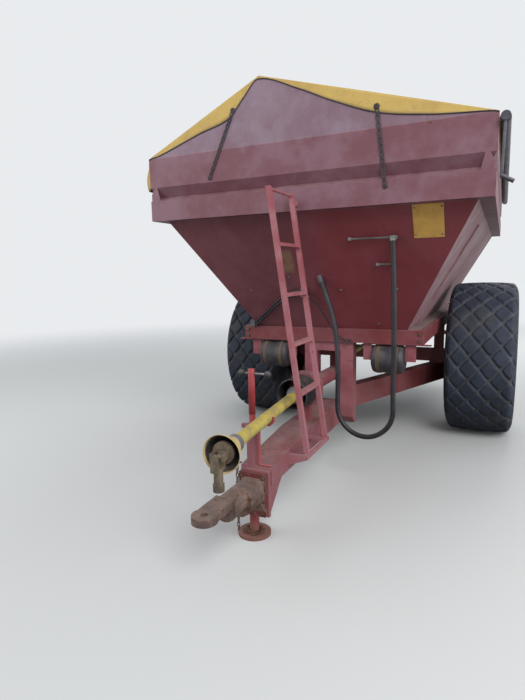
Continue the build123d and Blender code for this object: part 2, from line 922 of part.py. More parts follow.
# Spinner frame, gear case and spinners
hanger_out = BEAM_HALF + 12
hanger_front = SILL_END - 106
cross_low = CASE_LOW - 50
case_front = SPIN_Y - 60
case_back = SPIN_Y + 60
hanger = box(BEAM_HALF, hanger_out, hanger_front, SILL_END - 6, cross_low, FRAME_TOP)
hanger += box(BEAM_HALF, hanger_out, hanger_front, SPIN_Y + 40, cross_low, CASE_LOW)
save_all(mirrored(hanger), "spinner_hangers")
cross_tube = box(-BEAM_HALF, BEAM_HALF, SPIN_Y - 40, SPIN_Y + 40, cross_low, CASE_LOW)
save(cross_tube, "spinner_cross_tube")

case = box(-CASE_HALF, CASE_HALF, case_front, case_back, CASE_LOW, CASE_TOP)
for side, name in SIDES:
    x = side * SPIN_X
    case += box(
        x - TOWER_HALF,
        x + TOWER_HALF,
        SPIN_Y - TOWER_HALF,
        SPIN_Y + TOWER_HALF,
        CASE_TOP,
        TOWER_TOP,
    )
    bore = ((x, SPIN_Y, TOWER_TOP - 40), (x, SPIN_Y, TOWER_TOP + 1))
    case -= rod(*bore, SPIN_PIN + RUNNING_GAP)
save(case, "gear_case")

for side, name in SIDES:
    spinner = rod((0, 0, SPIN_Z), (0, 0, SPIN_Z + 6), SPIN_R, 32)
    spinner += rod((0, 0, TOWER_TOP + 6), (0, 0, SPIN_Z), 45, 16)
    spinner += rod((0, 0, TOWER_TOP - 30), (0, 0, TOWER_TOP + 6), SPIN_PIN)
    spinner += rod((0, 0, SPIN_Z + 6), (0, 0, SPIN_Z + 40), 40, 16)
    for i in range(VANES):
        vane = box(60, SPIN_R - 8, -4, 4, SPIN_Z + 6, SPIN_Z + 50)
        vane += box(60, SPIN_R - 8, -4, 20, SPIN_Z + 44, SPIN_Z + 50)
        spinner += Rot(0, 0, 360 / VANES * i + side * 20) * vane
    save(Pos(side * SPIN_X, SPIN_Y, 0) * spinner, f"spinner_{name}")

# Rear guard with lamps
guard_out = hanger_out + 50
guard_front = HALF_LENGTH - 50
guard_top = GUARD_LOW + 50
guard = box(-guard_out, guard_out, guard_front, HALF_LENGTH, GUARD_LOW, guard_top)
save(guard, "rear_guard")
arm = box(hanger_out, guard_out, hanger_front, guard_front, GUARD_LOW, guard_top)
save_all(mirrored(arm), "guard_arms")
lamp = box(620, 780, guard_front + 2, HALF_LENGTH - 4, GUARD_LOW - 90, GUARD_LOW)
save_all(mirrored(lamp), "lamps")

# Driveline: bell, housing with the shaft's pivot pin, tube, bearing and rear shaft
back = (Vector(0, BEARING_Y, BEARING_Z) - Vector(*PIVOT)).normalized()
drive = Plane(origin=PIVOT, x_dir=(1, 0, 0), z_dir=back)
bell = [
    (BELL_R - BELL_WALL, -BELL_REACH),
    (BELL_R, -BELL_REACH),
    (BELL_R, HOUSING_FRONT),
    (BELL_R - BELL_WALL, HOUSING_FRONT),
]
save(drive * faceted(bell, SHAFT_SIDES), "shaft_bell")

housing_face = RegularPolygon(HOUSING_HALF, 8, major_radius=False, rotation=22.5)
housing = extrude(Pos(0, 0, HOUSING_FRONT) * housing_face, HOUSING_BACK - HOUSING_FRONT)
housing += rod((0, 0, 0), (0, 0, HOUSING_FRONT), CROSS_R, 12)
housing += rod((-EAR_OUT - 2, 0, 0), (EAR_OUT + 2, 0, 0), CROSS_R)
wall_r = TUBE_R - 6
tube_face = RegularPolygon(TUBE_R, SHAFT_SIDES) - RegularPolygon(wall_r, SHAFT_SIDES)
tube = drive * extrude(Pos(0, 0, HOUSING_BACK) * tube_face, 900)
tube &= box(-80, 80, -1700, BEARING_Y, 600, 1000)
line = drive * housing + tube
line += box(-60, 60, BEARING_Y, BEARING_Y + 50, BEARING_Z - 80, HEAD_LOW - 10)
line += box(-60, 60, POST_BACK, BEARING_Y + 50, HEAD_LOW - 10, FRAME_LOW - 7)
stand_top = PIVOT[2] - HOUSING_HALF + 15
line += box(-45, 45, PIVOT[1] + 50, PIVOT[1] + 100, BOX_TOP, stand_top)
save(line, "driveline_tube")
rear_shaft = ((0, BEARING_Y + 50, REAR_SHAFT_Z), (0, case_front, REAR_SHAFT_Z))
save(rod(*rear_shaft, 25, POLE_SIDES) - rod(*rear_shaft, 20, POLE_SIDES), "rear_shaft_guard")

# Jointed shaft: guard tube, cones and the yoke that meets the tractor
fore = (Vector(*TIP) - Vector(*PIVOT)).normalized()
shaft = Plane(origin=PIVOT, x_dir=(1, 0, 0), z_dir=fore)
joint_y = EAR_REACH - HALF_LENGTH
joint_run = (joint_y - PIVOT[1]) / fore.Y
mouth = joint_run - MOUTH_SET
neck = mouth - 120
guard_inner = GUARD_R - GUARD_WALL
guard_section = [
    (guard_inner, GUARD_START),
    (guard_inner, neck),
    (GUARD_R, neck),
    (GUARD_R, GUARD_START),
]
save(shaft * faceted(guard_section, SHAFT_SIDES), "shaft_guard")

EAR_HALF = 16
EAR_FRONT = PIVOT[1] - 60
EAR_BACK = PIVOT[1] + 18
ear_low = PIVOT[2] - EAR_HALF
ear_top = PIVOT[2] + EAR_HALF
rear_cone = [(0, 50), (14, 50), (14, 120), (28, 120), (70, 22), (75, 22), (GUARD_R, 134)]
rear_cone += [(GUARD_R, GUARD_START), (0, GUARD_START)]
cone = shaft * faceted(rear_cone, SHAFT_SIDES)
cone += box(-EAR_OUT, EAR_OUT, EAR_FRONT, EAR_FRONT + 16, ear_low, ear_top)
for side, name in SIDES:
    cone += box(side * EAR_IN, side * EAR_OUT, EAR_FRONT, EAR_BACK, ear_low, ear_top)
pin_bore = ((-EAR_OUT - 1, *PIVOT[1:]), (EAR_OUT + 1, *PIVOT[1:]))
cone -= rod(*pin_bore, CROSS_R + RUNNING_GAP)
save(cone, "shaft_rear_cone")

front_cone = [
    (GUARD_R, neck - 55),
    (GUARD_R + 12, neck - 55),
    (GUARD_R + 16, neck),
    (MOUTH_R, mouth),
    (MOUTH_R - 4, mouth),
    (GUARD_R + 12, neck + 4),
    (20, neck + 4),
    (20, neck),
    (GUARD_R, neck),
]
save(shaft * faceted(front_cone, SHAFT_SIDES), "shaft_front_cone")

joint = Vector(*PIVOT) + fore * joint_run
jx, jy, jz = joint.X, joint.Y, joint.Z
inner = rod((0, 0, neck + 4), (0, 0, joint_run - 75), 20, 12)
inner += rod((0, 0, joint_run - 78), (0, 0, joint_run - 58), 55, SHAFT_SIDES)
for side, name in SIDES:
    inner += box(side * 24, side * 36, -16, 16, joint_run - 58, joint_run + 16)
inner += rod((-30, 0, joint_run), (30, 0, joint_run), 11, 12)
yoke = shaft * inner
yoke += rod((jx, jy - 33, jz), (jx, jy + 33, jz), 11, 12)
for side, name in SIDES:
    yoke += box(jx - 18, jx + 18, jy + side * 26, jy + side * EAR_REACH, jz - 65, jz + 16)
yoke += box(jx - 18, jx + 18, jy - EAR_REACH, jy + EAR_REACH, jz - 65, jz - 50)
yoke += rod((jx, jy, jz - 50), (jx, jy, jz + YOKE_NECK), 22)
yoke += rod((jx, jy, jz + YOKE_NECK), (jx, jy, jz + YOKE_END), 27)
yoke -= rod((jx, jy, jz + YOKE_BORE_TOP), (jx, jy, jz + YOKE_END - 1), YOKE_BORE)
save(yoke, "shaft_yoke")

# Bent bar on the drawbar that the parked shaft rests on
share = (REST_Y - PIVOT[1]) / fore.Y
shaft_x = PIVOT[0] + fore.X * share
shaft_z = PIVOT[2] + fore.Z * share
reach_out = GUARD_R + SEAT_GAP + REST_R
rest_z = shaft_z - reach_out
rest_right = shaft_x + reach_out + 0.6
nose_slope = (BOX_TOP - NOSE_TOP) / (BOX_BEND - BOX_FRONT)
foot_z = NOSE_TOP + nose_slope * (REST_Y + REST_R - BOX_FRONT) + SEAT_GAP + REST_R
bend = rest_right - shaft_x - 0.414 * reach_out
REST_LINE = (
    (REST_FOOT[0], foot_z),
    (REST_FOOT[1], foot_z),
    (REST_FOOT[1], rest_z),
    (rest_right - bend, rest_z),
    (rest_right, rest_z + bend),
    (rest_right, shaft_z + 8),
)
rest_path = Polyline(*[(x, REST_Y, z) for x, z in REST_LINE])
rest_plane = Plane(origin=rest_path @ 0, x_dir=(0, 1, 0), z_dir=(-1, 0, 0))
rest_face = rest_plane * RegularPolygon(REST_R, 8, major_radius=False, rotation=22.5)
save(sweep(rest_face, path=rest_path, transition=Transition.RIGHT), "shaft_cradle")

# Jack
KNOB = [(0, -1), (0.7, -0.7), (1, 0), (0.7, 0.7), (0, 1)]
knob = faceted([(r * KNOB_R, z * KNOB_R) for r, z in KNOB], 8)
jack_axis = Pos(JACK_X, JACK_Y, 0)
leg = rod((0, 0, 0), (0, 0, FOOT_THICK), FOOT_R, 32)
leg += rod((0, 0, FOOT_THICK), (0, 0, SLEEVE_TOP), JACK_R)
leg += rod((0, 0, SLEEVE_TOP), (0, 0, STEM_FOOT), STEM_R - 2, 16)
save(jack_axis * leg, "jack_leg")
handle = rod((0, 0, STEM_FOOT), (0, 0, STEM_TOP), STEM_R, 16)
bar_left = BAR_LEFT - JACK_X
bar_right = BAR_RIGHT - JACK_X
handle += rod((bar_left, 0, BAR_Z), (bar_right, 0, BAR_Z), 7, 8)
handle += Pos(bar_left, 0, BAR_Z) * knob
handle += Pos(bar_right, 0, BAR_Z) * knob
save(jack_axis * handle, "jack_handle")

# Hitch eye: a flat tongue, its shank and boss, and the flange on the front plate
eye_low = EYE_Z - EYE_HALF
eye_top = EYE_Z + EYE_HALF
flange_front = PLATE_FRONT - EYE_FLANGE
eye = rod((0, EYE_Y, eye_low), (0, EYE_Y, eye_top), EYE_R)
eye += box(-TONGUE_HALF, TONGUE_HALF, EYE_Y, SHANK_FRONT + 18, eye_low, eye_top)
shank = ((0, SHANK_FRONT, SHANK_Z), (0, BOSS_FRONT + 10, SHANK_Z))
eye += rod(*shank, SHANK_R, 16)
boss = ((0, BOSS_FRONT, BOSS_Z), (0, BOSS_BACK, BOSS_Z))
eye += rod(*boss, BOSS_R, 16)
neck_low = [(-80, flange_front, 190), (80, flange_front, 190)]
neck_low += [(80, flange_front, 400), (-80, flange_front, 400)]
neck_high = [(-56, BOSS_BACK, BOSS_Z - 56), (56, BOSS_BACK, BOSS_Z - 56)]
neck_high += [(56, BOSS_BACK, BOSS_Z + 56), (-56, BOSS_BACK, BOSS_Z + 56)]
eye += hexa(neck_low, neck_high)
eye += box(-88, 80, flange_front, PLATE_FRONT, PLATE_LOW + 11, PLATE_TOP - 10)
eye -= rod((0, EYE_Y, eye_low - 1), (0, EYE_Y, eye_top + 1), EYE_HOLE)
save(eye, "drawbar_eye")

# Ladder and the bracket it stands on
ladder_lean = (LADDER_HEAD[0] - LADDER_FOOT[0]) / (LADDER_HEAD[1] - LADDER_FOOT[1])


def ladder_x(z):
    return LADDER_FOOT[0] + ladder_lean * (z - LADDER_FOOT[1])


def leaning(z0, z1, half, y0, y1):
    line = [
        (ladder_x(z0) - half, z0),
        (ladder_x(z0) + half, z0),
        (ladder_x(z1) + half, z1),
        (ladder_x(z1) - half, z1),
    ]
    return along(line, y0, y1)


half = STILE / 2
head_z = LADDER_HEAD[1]
ladder = leaning(LADDER_FOOT[1], head_z + 15, half, STILE_FRONT - half, STILE_FRONT + half)
ladder += leaning(LADDER_FOOT[1], head_z + 15, half, STILE_REAR - half, STILE_REAR + half)
for z in RUNGS:
    ladder += leaning(z - 10, z + 10, 20, STILE_FRONT, STILE_REAR)
top_rung = ((ladder_x(head_z), STILE_FRONT, head_z), (ladder_x(head_z), STILE_REAR, head_z))
ladder += rod(*top_rung, 9, 12)
ladder += leaning(head_z - 60, head_z - 30, half, STILE_REAR, BAND_FRONT)
save(ladder, "ladder")

rail_low = LADDER_FOOT[1] - RAIL_DEEP
arm_front = STILE_FRONT - 54
gusset = [
    (POST_IN, GUSSET_LOW),
    (RAIL_OUT, rail_low),
    (RAIL_OUT, LADDER_FOOT[1]),
    (POST_IN, LADDER_FOOT[1]),
]
bracket = along(gusset, arm_front, arm_front + 22)
bracket += box(RAIL_IN, RAIL_OUT, arm_front, STILE_REAR + 20, rail_low, LADDER_FOOT[1])
bracket += box(
    POST_IN,
    RAIL_OUT,
    STILE_REAR - 20,
    STILE_REAR + 20,
    rail_low,
    LADDER_FOOT[1],
)
save(bracket, "ladder_bracket")

# Air reservoirs and their brackets
tank_section = [
    (0, -TANK_HALF),
    (TANK_R - TANK_ROUND, -TANK_HALF),
    (TANK_R, TANK_ROUND - TANK_HALF),
    (TANK_R, TANK_HALF - TANK_ROUND),
    (TANK_R - TANK_ROUND, TANK_HALF),
    (0, TANK_HALF),
]
tank = Pos(TANK_X, TANK_Y, TANK_Z) * Rot(0, 90, 0) * faceted(tank_section, TANK_SIDES)
save_all(mirrored(tank), "reservoirs")
ear_in = TANK_X - TANK_HALF - 65
ear_out = TANK_X + TANK_HALF + 80
y0 = TANK_Y - 36
y1 = TANK_Y - 24
ear = box(ear_in, ear_out, y0, y1, TANK_Z + TANK_R + 3, FRAME_LOW)
ear += box(ear_in, TANK_X - TANK_HALF, y0, y1, TANK_Z - 10, FRAME_LOW)
ear += box(TANK_X + TANK_HALF, ear_out, y0, y1, TANK_Z - 10, FRAME_LOW)
save_all(mirrored(ear), "reservoir_brackets")

# Blank plate on the front wall
front_slope = math.hypot(FRONT_FOOT - FRONT_HEAD, rise)
wall_out = (0, -rise / front_slope, (FRONT_HEAD - FRONT_FOOT) / front_slope)
blank_z = FRAME_TOP + rise * BLANK_UP / front_slope
plate_at = (BLANK_X, front_wall_y(blank_z), blank_z)
plate_plane = Plane(origin=plate_at, x_dir=(1, 0, 0), z_dir=wall_out)
save(extrude(plate_plane * Rectangle(BLANK_WIDTH, BLANK_HEIGHT), 2), "blank_plate")

# Hoses, their glands and the holders on the front wall
MAIN_HOSE = (
    (40, -1240, 1493),
    (109, -1262, 1331),
    (163, -1285, 1149),
    (184, -1300, 928),
    (188, -1312, 703),
    (185, -1322, 505),
    (308, -1338, 380),
    (478, -1362, 380),
    (612, -1378, 512),
    (606, -1390, 719),
    (611, -1401, 980),
    (610, -1414, 1250),
    (604, -1425, 1515),
    (596, -1434, 1770),
)
LEFT_HOSE = (
    (-150, -1190, 1437),
    (-262, -1180, 1418),
    (-378, -1137, 1345),
    (-500, -1075, 1252),
    (-618, -1012, 1172),
)
FRONT_CABLE = (
    (-92, -1164, 1384),
    (-28, -1128, 1318),
    (10, -1080, 1232),
    (40, -1022, 1142),
    (84, -998, 1070),
    (147, -1002, 1036),
)
left_low = [(x, y, z - PAIR_STEP) for x, y, z in LEFT_HOSE]
hose(MAIN_HOSE, HOSE_R, HOSE_SIDES, "hose_main")
hose(LEFT_HOSE, THIN_R, THIN_SIDES, "hose_left_upper")
hose(left_low, THIN_R, THIN_SIDES, "hose_left_lower")
hose(FRONT_CABLE, CABLE_R, THIN_SIDES, "cable_front")

behind_wall = across(
    [
        (front_wall_y(FRAME_TOP), FRAME_TOP),
        (front_wall_y(RIM_LOW), RIM_LOW),
        (0, RIM_LOW),
        (0, FRAME_TOP),
    ],
    -WALL_HEAD,
    WALL_HEAD,
)


def ferrule(point, inside, radius, length):
    # A short sleeve that goes on in line from a hose's end.
    away = (Vector(*point) - Vector(*inside)).normalized() * length
    end = (point[0] + away.X, point[1] + away.Y, point[2] + away.Z)
    return rod(point, end, radius, 8)


start_gland = ferrule(MAIN_HOSE[0], MAIN_HOSE[1], HOSE_R + 6, 60) - behind_wall
start_block = box(-146, -104, -1208, -1120, 1388, 1458) - behind_wall
end_block = box(-676, -634, -1026, FRONT_FOOT - 4, FRAME_TOP, 1182) - behind_wall
for points in (LEFT_HOSE, left_low):
    start_block += ferrule(points[0], points[1], THIN_R + 4, 24)
    end_block += ferrule(points[-1], points[-2], THIN_R + 4, 30)
start_block += ferrule(FRONT_CABLE[0], FRONT_CABLE[1], CABLE_R + 3, 24)
cable_block = box(158, 186, -1016, BEAM_FRONT, FRAME_LOW, 1044)
cable_block += ferrule(FRONT_CABLE[-1], FRONT_CABLE[-2], CABLE_R + 3, 20)
save_all([start_gland, start_block, end_block, cable_block], "hose_glands")

holders = []
for x0, x1, z in HOLDERS:
    y = front_wall_y(z) - HOLDER_OUT
    holder = rod((x0, y, z), (x1, y, z), HOLDER_R, 8)
    for x in (x0 + 12, x1 - 12):
        foot = box(x - 10, x + 10, y - 8, y + 60, z - 10, z + 10)
        holder += foot - behind_wall
    holders.append(holder)
holders[0] += ferrule(MAIN_HOSE[-1], MAIN_HOSE[-2], HOSE_R + 5, 34) - behind_wall
save_all(holders, "hose_holders")
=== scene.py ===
# Looks of the towed fertilizer spreader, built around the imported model. Metres.

import math
import random

import bpy
from mathutils import Matrix, Vector, noise


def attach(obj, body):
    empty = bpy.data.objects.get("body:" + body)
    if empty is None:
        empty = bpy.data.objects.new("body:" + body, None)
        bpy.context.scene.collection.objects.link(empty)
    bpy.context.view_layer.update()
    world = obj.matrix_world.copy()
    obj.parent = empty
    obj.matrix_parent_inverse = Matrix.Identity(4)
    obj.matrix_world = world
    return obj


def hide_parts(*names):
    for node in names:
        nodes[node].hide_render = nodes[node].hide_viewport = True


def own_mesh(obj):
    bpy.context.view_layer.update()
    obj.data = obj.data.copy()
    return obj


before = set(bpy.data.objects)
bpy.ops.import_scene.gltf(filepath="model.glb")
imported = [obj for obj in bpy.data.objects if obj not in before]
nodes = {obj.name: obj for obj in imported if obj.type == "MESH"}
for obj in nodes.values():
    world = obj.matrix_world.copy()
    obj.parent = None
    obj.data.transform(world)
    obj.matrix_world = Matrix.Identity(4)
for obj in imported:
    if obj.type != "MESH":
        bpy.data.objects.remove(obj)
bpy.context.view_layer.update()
random.seed(7)

# Camera at the photograph's place
CAMERA_AT = (1.2641, -4.8512, 1.5700)
CAMERA_YAW = 0.4462
CAMERA_PITCH = -0.1507
CAMERA_ROLL = -0.0186
CAMERA_LENS = 34.45

# Sizes taken from the model
TYRE_R = 0.724
AXLE_Y = 0.481
WHEEL_X = 1.107
WALL_FOOT_Z = 1.127
WALL_FOOT_Y = -0.964
WALL_RUN = -570 / 855
BAND_FRONT = -1.624
BAND_REAR = 2.306
BAND_HALF = 1.200
PANEL_TOP = 2.436
APEX = (-0.270, 2.868)
FLAP_LOW = 2.210
ROLL_TOP = 2.380
FLANGE_FRONT = -2.377
JACK_AT = (-0.038, -2.286)
PIVOT = (0.0, -1.584, 0.745)
TIP = (0.130, -2.979, 0.749)
BEARING = (0.0, -0.734, 0.730)
SHAFT_RUN = 1.3928
TANK = (0.480, -0.914, 0.890)


def srgb(r, g, b):
    linear = []
    for value in (r, g, b):
        share = value / 255
        if share <= 0.04045:
            linear.append(share / 12.92)
        else:
            linear.append(((share + 0.055) / 1.055) ** 2.4)
    return (*linear, 1.0)


def link(obj):
    bpy.context.scene.collection.objects.link(obj)
    return obj


def add_camera():
    forward = Vector(
        (
            -math.sin(CAMERA_YAW) * math.cos(CAMERA_PITCH),
            math.cos(CAMERA_YAW) * math.cos(CAMERA_PITCH),
            math.sin(CAMERA_PITCH),
        )
    )
    level = Vector((math.cos(CAMERA_YAW), math.sin(CAMERA_YAW), 0))
    upright = level.cross(forward)
    c = math.cos(CAMERA_ROLL)
    s = math.sin(CAMERA_ROLL)
    right = level * c + upright * s
    up = upright * c - level * s
    data = bpy.data.cameras.new("camera")
    data.sensor_fit = "HORIZONTAL"
    data.sensor_width = 36
    data.lens = CAMERA_LENS
    camera = link(bpy.data.objects.new("camera", data))
    matrix = Matrix((right, up, -forward)).transposed().to_4x4()
    matrix.translation = CAMERA_AT
    camera.matrix_world = matrix
    bpy.context.scene.camera = camera


add_camera()

# Hoses and the cable, along the model's own routes
MAIN_HOSE = (
    (0.040, -1.240, 1.493),
    (0.109, -1.262, 1.331),
    (0.163, -1.285, 1.149),
    (0.184, -1.300, 0.928),
    (0.188, -1.312, 0.703),
    (0.185, -1.322, 0.505),
    (0.308, -1.338, 0.380),
    (0.478, -1.362, 0.380),
    (0.612, -1.378, 0.512),
    (0.606, -1.390, 0.719),
    (0.611, -1.401, 0.980),
    (0.610, -1.414, 1.250),
    (0.604, -1.425, 1.515),
    (0.596, -1.434, 1.770),
)
LEFT_HOSE = (
    (-0.150, -1.190, 1.437),
    (-0.262, -1.180, 1.418),
    (-0.378, -1.137, 1.345),
    (-0.500, -1.075, 1.252),
    (-0.618, -1.012, 1.172),
)
FRONT_CABLE = (
    (-0.092, -1.164, 1.384),
    (-0.028, -1.128, 1.318),
    (0.010, -1.080, 1.232),
    (0.040, -1.022, 1.142),
    (0.084, -0.998, 1.070),
    (0.147, -1.002, 1.036),
)
PAIR_STEP = 0.026
CURVE_STEPS = 14
BEVEL_STEPS = 4
LOWER_HOSE = tuple((x, y, z - PAIR_STEP) for x, y, z in LEFT_HOSE)
HOSES = (
    # node, route, radius, real length, stiffness
    ("hose_main", MAIN_HOSE, 0.018, 2.776, "stiff"),
    ("hose_left_upper", LEFT_HOSE, 0.009, 0.577, "stiff"),
    ("hose_left_lower", LOWER_HOSE, 0.009, 0.577, "stiff"),
    ("cable_front", FRONT_CABLE, 0.005, 0.471, "medium"),
)
hoses = []
for node, route, radius, length, stiffness in HOSES:
    curve = bpy.data.curves.new(f"{node}_skin", "CURVE")
    curve.dimensions = "3D"
    spline = curve.splines.new("NURBS")
    spline.points.add(len(route) - 1)
    for point, place in zip(spline.points, route):
        point.co = (*place, 1)
        point.radius = radius
    spline.order_u = 3
    spline.use_endpoint_u = True
    spline.resolution_u = CURVE_STEPS
    curve.bevel_depth = 1.0
    curve.bevel_resolution = BEVEL_STEPS
    curve.use_fill_caps = True
    hose = link(bpy.data.objects.new(f"{node}_skin", curve))
    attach(hose, "spreader")
    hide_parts(node)
    hoses.append(hose)


# Light and floor
LIGHTS = (
    # name, place, aim, size, power
    ("key", (5.0, -7.5, 7.0), (0, 0, 1.0), 5.0, 500),
    ("fill", (-6.0, -5.5, 4.0), (0, 0, 1.2), 6.0, 190),
    ("side", (8.0, -2.0, 2.6), (0, 0.5, 1.3), 5.0, 200),
    ("back", (1.0, 8.0, 6.0), (0, 1.0, 1.2), 5.0, 330),
)
SKY_LIGHT = (0.90, 0.95, 1.0, 1)
SKY_LIGHT_STRENGTH = 0.48
BACKDROP = (0.86, 0.88, 0.90, 1)
BACKDROP_STRENGTH = 0.95
FLOOR_REACH = 60
FLOOR_LIT = srgb(140, 138, 134)
FLOOR_SEEN = srgb(216, 217, 216)
FLOOR_FADE = (4.5, 13.0)


def add_light(name, place, target, size, power):
    data = bpy.data.lights.new(name, "AREA")
    data.shape = "DISK"
    data.size = size
    data.energy = power
    light = link(bpy.data.objects.new(name, data))
    light.location = place
    aim = Vector(target) - Vector(place)
    light.rotation_euler = aim.to_track_quat("-Z", "Y").to_euler()


def add_world():
    # A dim sky lights the object, and a pale backdrop is what shows.
    world = bpy.data.worlds.new("studio")
    bpy.context.scene.world = world
    world.use_nodes = True
    tree = world.node_tree
    tree.nodes.clear()
    path = tree.nodes.new("ShaderNodeLightPath")
    seen = tree.nodes.new("ShaderNodeMath")
    seen.operation = "MAXIMUM"
    tree.links.new(path.outputs["Is Camera Ray"], seen.inputs[0])
    tree.links.new(path.outputs["Is Glossy Ray"], seen.inputs[1])
    mixed = tree.nodes.new("ShaderNodeMixShader")
    tree.links.new(seen.outputs[0], mixed.inputs[0])
    for number, colour, strength in ((1, SKY_LIGHT, SKY_LIGHT_STRENGTH), (2, BACKDROP, BACKDROP_STRENGTH)):
        glow = tree.nodes.new("ShaderNodeBackground")
        glow.inputs["Color"].default_value = colour
        glow.inputs["Strength"].default_value = strength
        tree.links.new(glow.outputs[0], mixed.inputs[number])
    out = tree.nodes.new("ShaderNodeOutputWorld")
    tree.links.new(mixed.outputs[0], out.inputs["Surface"])


def add_floor():
    # Darker in the light that it throws back than it looks, and clear far from the object.
    mesh = bpy.data.meshes.new("floor")
    corners = [(x * FLOOR_REACH, y * FLOOR_REACH, 0) for x, y in ((-1, -1), (1, -1), (1, 1), (-1, 1))]
    mesh.from_pydata(corners, [], [(0, 1, 2, 3)])
    floor = link(bpy.data.objects.new("floor", mesh))
    material = bpy.data.materials.new("pale_floor")
    material.use_nodes = True
    nodes_of = material.node_tree.nodes
    links_of = material.node_tree.links
    shader = nodes_of["Principled BSDF"]
    shader.inputs["Roughness"].default_value = 0.95
    shader.inputs["Specular IOR Level"].default_value = 0.1
    path = nodes_of.new("ShaderNodeLightPath")
    tone = nodes_of.new("ShaderNodeMix")
    tone.data_type = "RGBA"
    tone.inputs["A"].default_value = FLOOR_LIT
    tone.inputs["B"].default_value = FLOOR_SEEN
    links_of.new(path.outputs["Is Camera Ray"], tone.inputs["Factor"])
    links_of.new(tone.outputs["Result"], shader.inputs["Base Color"])
    place = nodes_of.new("ShaderNodeTexCoord")
    far = nodes_of.new("ShaderNodeVectorMath")
    far.operation = "LENGTH"
    links_of.new(place.outputs["Object"], far.inputs[0])
    fade = nodes_of.new("ShaderNodeMapRange")
    fade.interpolation_type = "SMOOTHSTEP"
    fade.inputs["From Min"].default_value, fade.inputs["From Max"].default_value = FLOOR_FADE
    links_of.new(far.outputs["Value"], fade.inputs["Value"])
    clear = nodes_of.new("ShaderNodeBsdfTransparent")
    both = nodes_of.new("ShaderNodeMixShader")
    links_of.new(fade.outputs["Result"], both.inputs[0])
    links_of.new(shader.outputs[0], both.inputs[1])
    links_of.new(clear.outputs[0], both.inputs[2])
    links_of.new(both.outputs[0], nodes_of["Material Output"].inputs["Surface"])
    mesh.materials.append(material)


bpy.context.scene.view_settings.view_transform = "Standard"
add_world()
for light in LIGHTS:
    add_light(*light)
add_floor()


# Material nodes
class Tree:
    # One material and short names for its nodes.
    def __init__(self, name):
        self.material = bpy.data.materials.new(name)
        self.material.use_nodes = True
        self.nodes = self.material.node_tree.nodes
        self.links = self.material.node_tree.links
        self.shader = self.nodes["Principled BSDF"]
        self.coords = self.nodes.new("ShaderNodeTexCoord").outputs["Object"]
        self.geometry = self.nodes.new("ShaderNodeNewGeometry")

    def put(self, socket, value):
        # A link or a plain value.
        if isinstance(value, bpy.types.NodeSocket):
            self.links.new(value, socket)
        else:
            socket.default_value = value

    def math(self, operation, a, b=0.0):
        node = self.nodes.new("ShaderNodeMath")
        node.operation = operation
        node.use_clamp = operation in ("ADD", "MULTIPLY", "SUBTRACT")
        self.put(node.inputs[0], a)
        self.put(node.inputs[1], b)
        return node.outputs[0]

    def times(self, a, b):
        return self.math("MULTIPLY", a, b)

    def plus(self, a, b):
        return self.math("ADD", a, b)

    def noise(self, scale, detail=5.0, rough=0.6, stretch=(1, 1, 1)):
        mapping = self.nodes.new("ShaderNodeMapping")
        mapping.inputs["Scale"].default_value = stretch
        self.links.new(self.coords, mapping.inputs["Vector"])
        node = self.nodes.new("ShaderNodeTexNoise")
        node.inputs["Scale"].default_value = scale
        node.inputs["Detail"].default_value = detail
        node.inputs["Roughness"].default_value = rough
        self.links.new(mapping.outputs[0], node.inputs["Vector"])
        return node.outputs["Fac"]

    def span(self, value, low, high, to_low=0.0, to_high=1.0):
        node = self.nodes.new("ShaderNodeMapRange")
        node.interpolation_type = "SMOOTHSTEP"
        self.put(node.inputs["Value"], value)
        node.inputs["From Min"].default_value = low
        node.inputs["From Max"].default_value = high
        node.inputs["To Min"].default_value = to_low
        node.inputs["To Max"].default_value = to_high
        return node.outputs["Result"]

    def mix(self, share, a, b):
        node = self.nodes.new("ShaderNodeMix")
        node.data_type = "RGBA"
        self.put(node.inputs["Factor"], share)
        self.put(node.inputs["A"], a)
        self.put(node.inputs["B"], b)
        return node.outputs["Result"]

    def axis(self, vector, name):
        # X, Y or Z of a vector.
        node = self.nodes.new("ShaderNodeSeparateXYZ")
        self.links.new(vector, node.inputs[0])
        return node.outputs[name]

    def place(self, name):
        return self.axis(self.coords, name)

    def upward(self, low, high, to_low=0.0, to_high=1.0):
        # How far a face looks up.
        facing = self.axis(self.geometry.outputs["Normal"], "Z")
        return self.span(facing, low, high, to_low, to_high)

    def within(self, name, low, high, soft):
        # 1 between two places along an axis.
        rising = self.span(self.place(name), low - soft, low + soft)
        falling = self.span(self.place(name), high + soft, high - soft)
        return self.times(rising, falling)

    def attribute(self, name):
        node = self.nodes.new("ShaderNodeAttribute")
        node.attribute_name = name
        return node.outputs["Fac"]

    def bump(self, height, strength, distance):
        node = self.nodes.new("ShaderNodeBump")
        node.inputs["Strength"].default_value = strength
        node.inputs["Distance"].default_value = distance
        self.links.new(height, node.inputs["Height"])
        self.links.new(node.outputs[0], self.shader.inputs["Normal"])

    def edges(self, radius):
        # 1 along an edge, where the rounded normal leaves the true one.
        node = self.nodes.new("ShaderNodeBevel")
        node.samples = BEVEL_SAMPLES
        node.inputs["Radius"].default_value = radius
        dot = self.nodes.new("ShaderNodeVectorMath")
        dot.operation = "DOT_PRODUCT"
        self.links.new(node.outputs[0], dot.inputs[0])
        self.links.new(self.geometry.outputs["Normal"], dot.inputs[1])
        return self.span(dot.outputs["Value"], *EDGE_TURN)

    def finish(self, colour, roughness):
        self.put(self.shader.inputs["Base Color"], colour)
        self.put(self.shader.inputs["Roughness"], roughness)
        return self.material


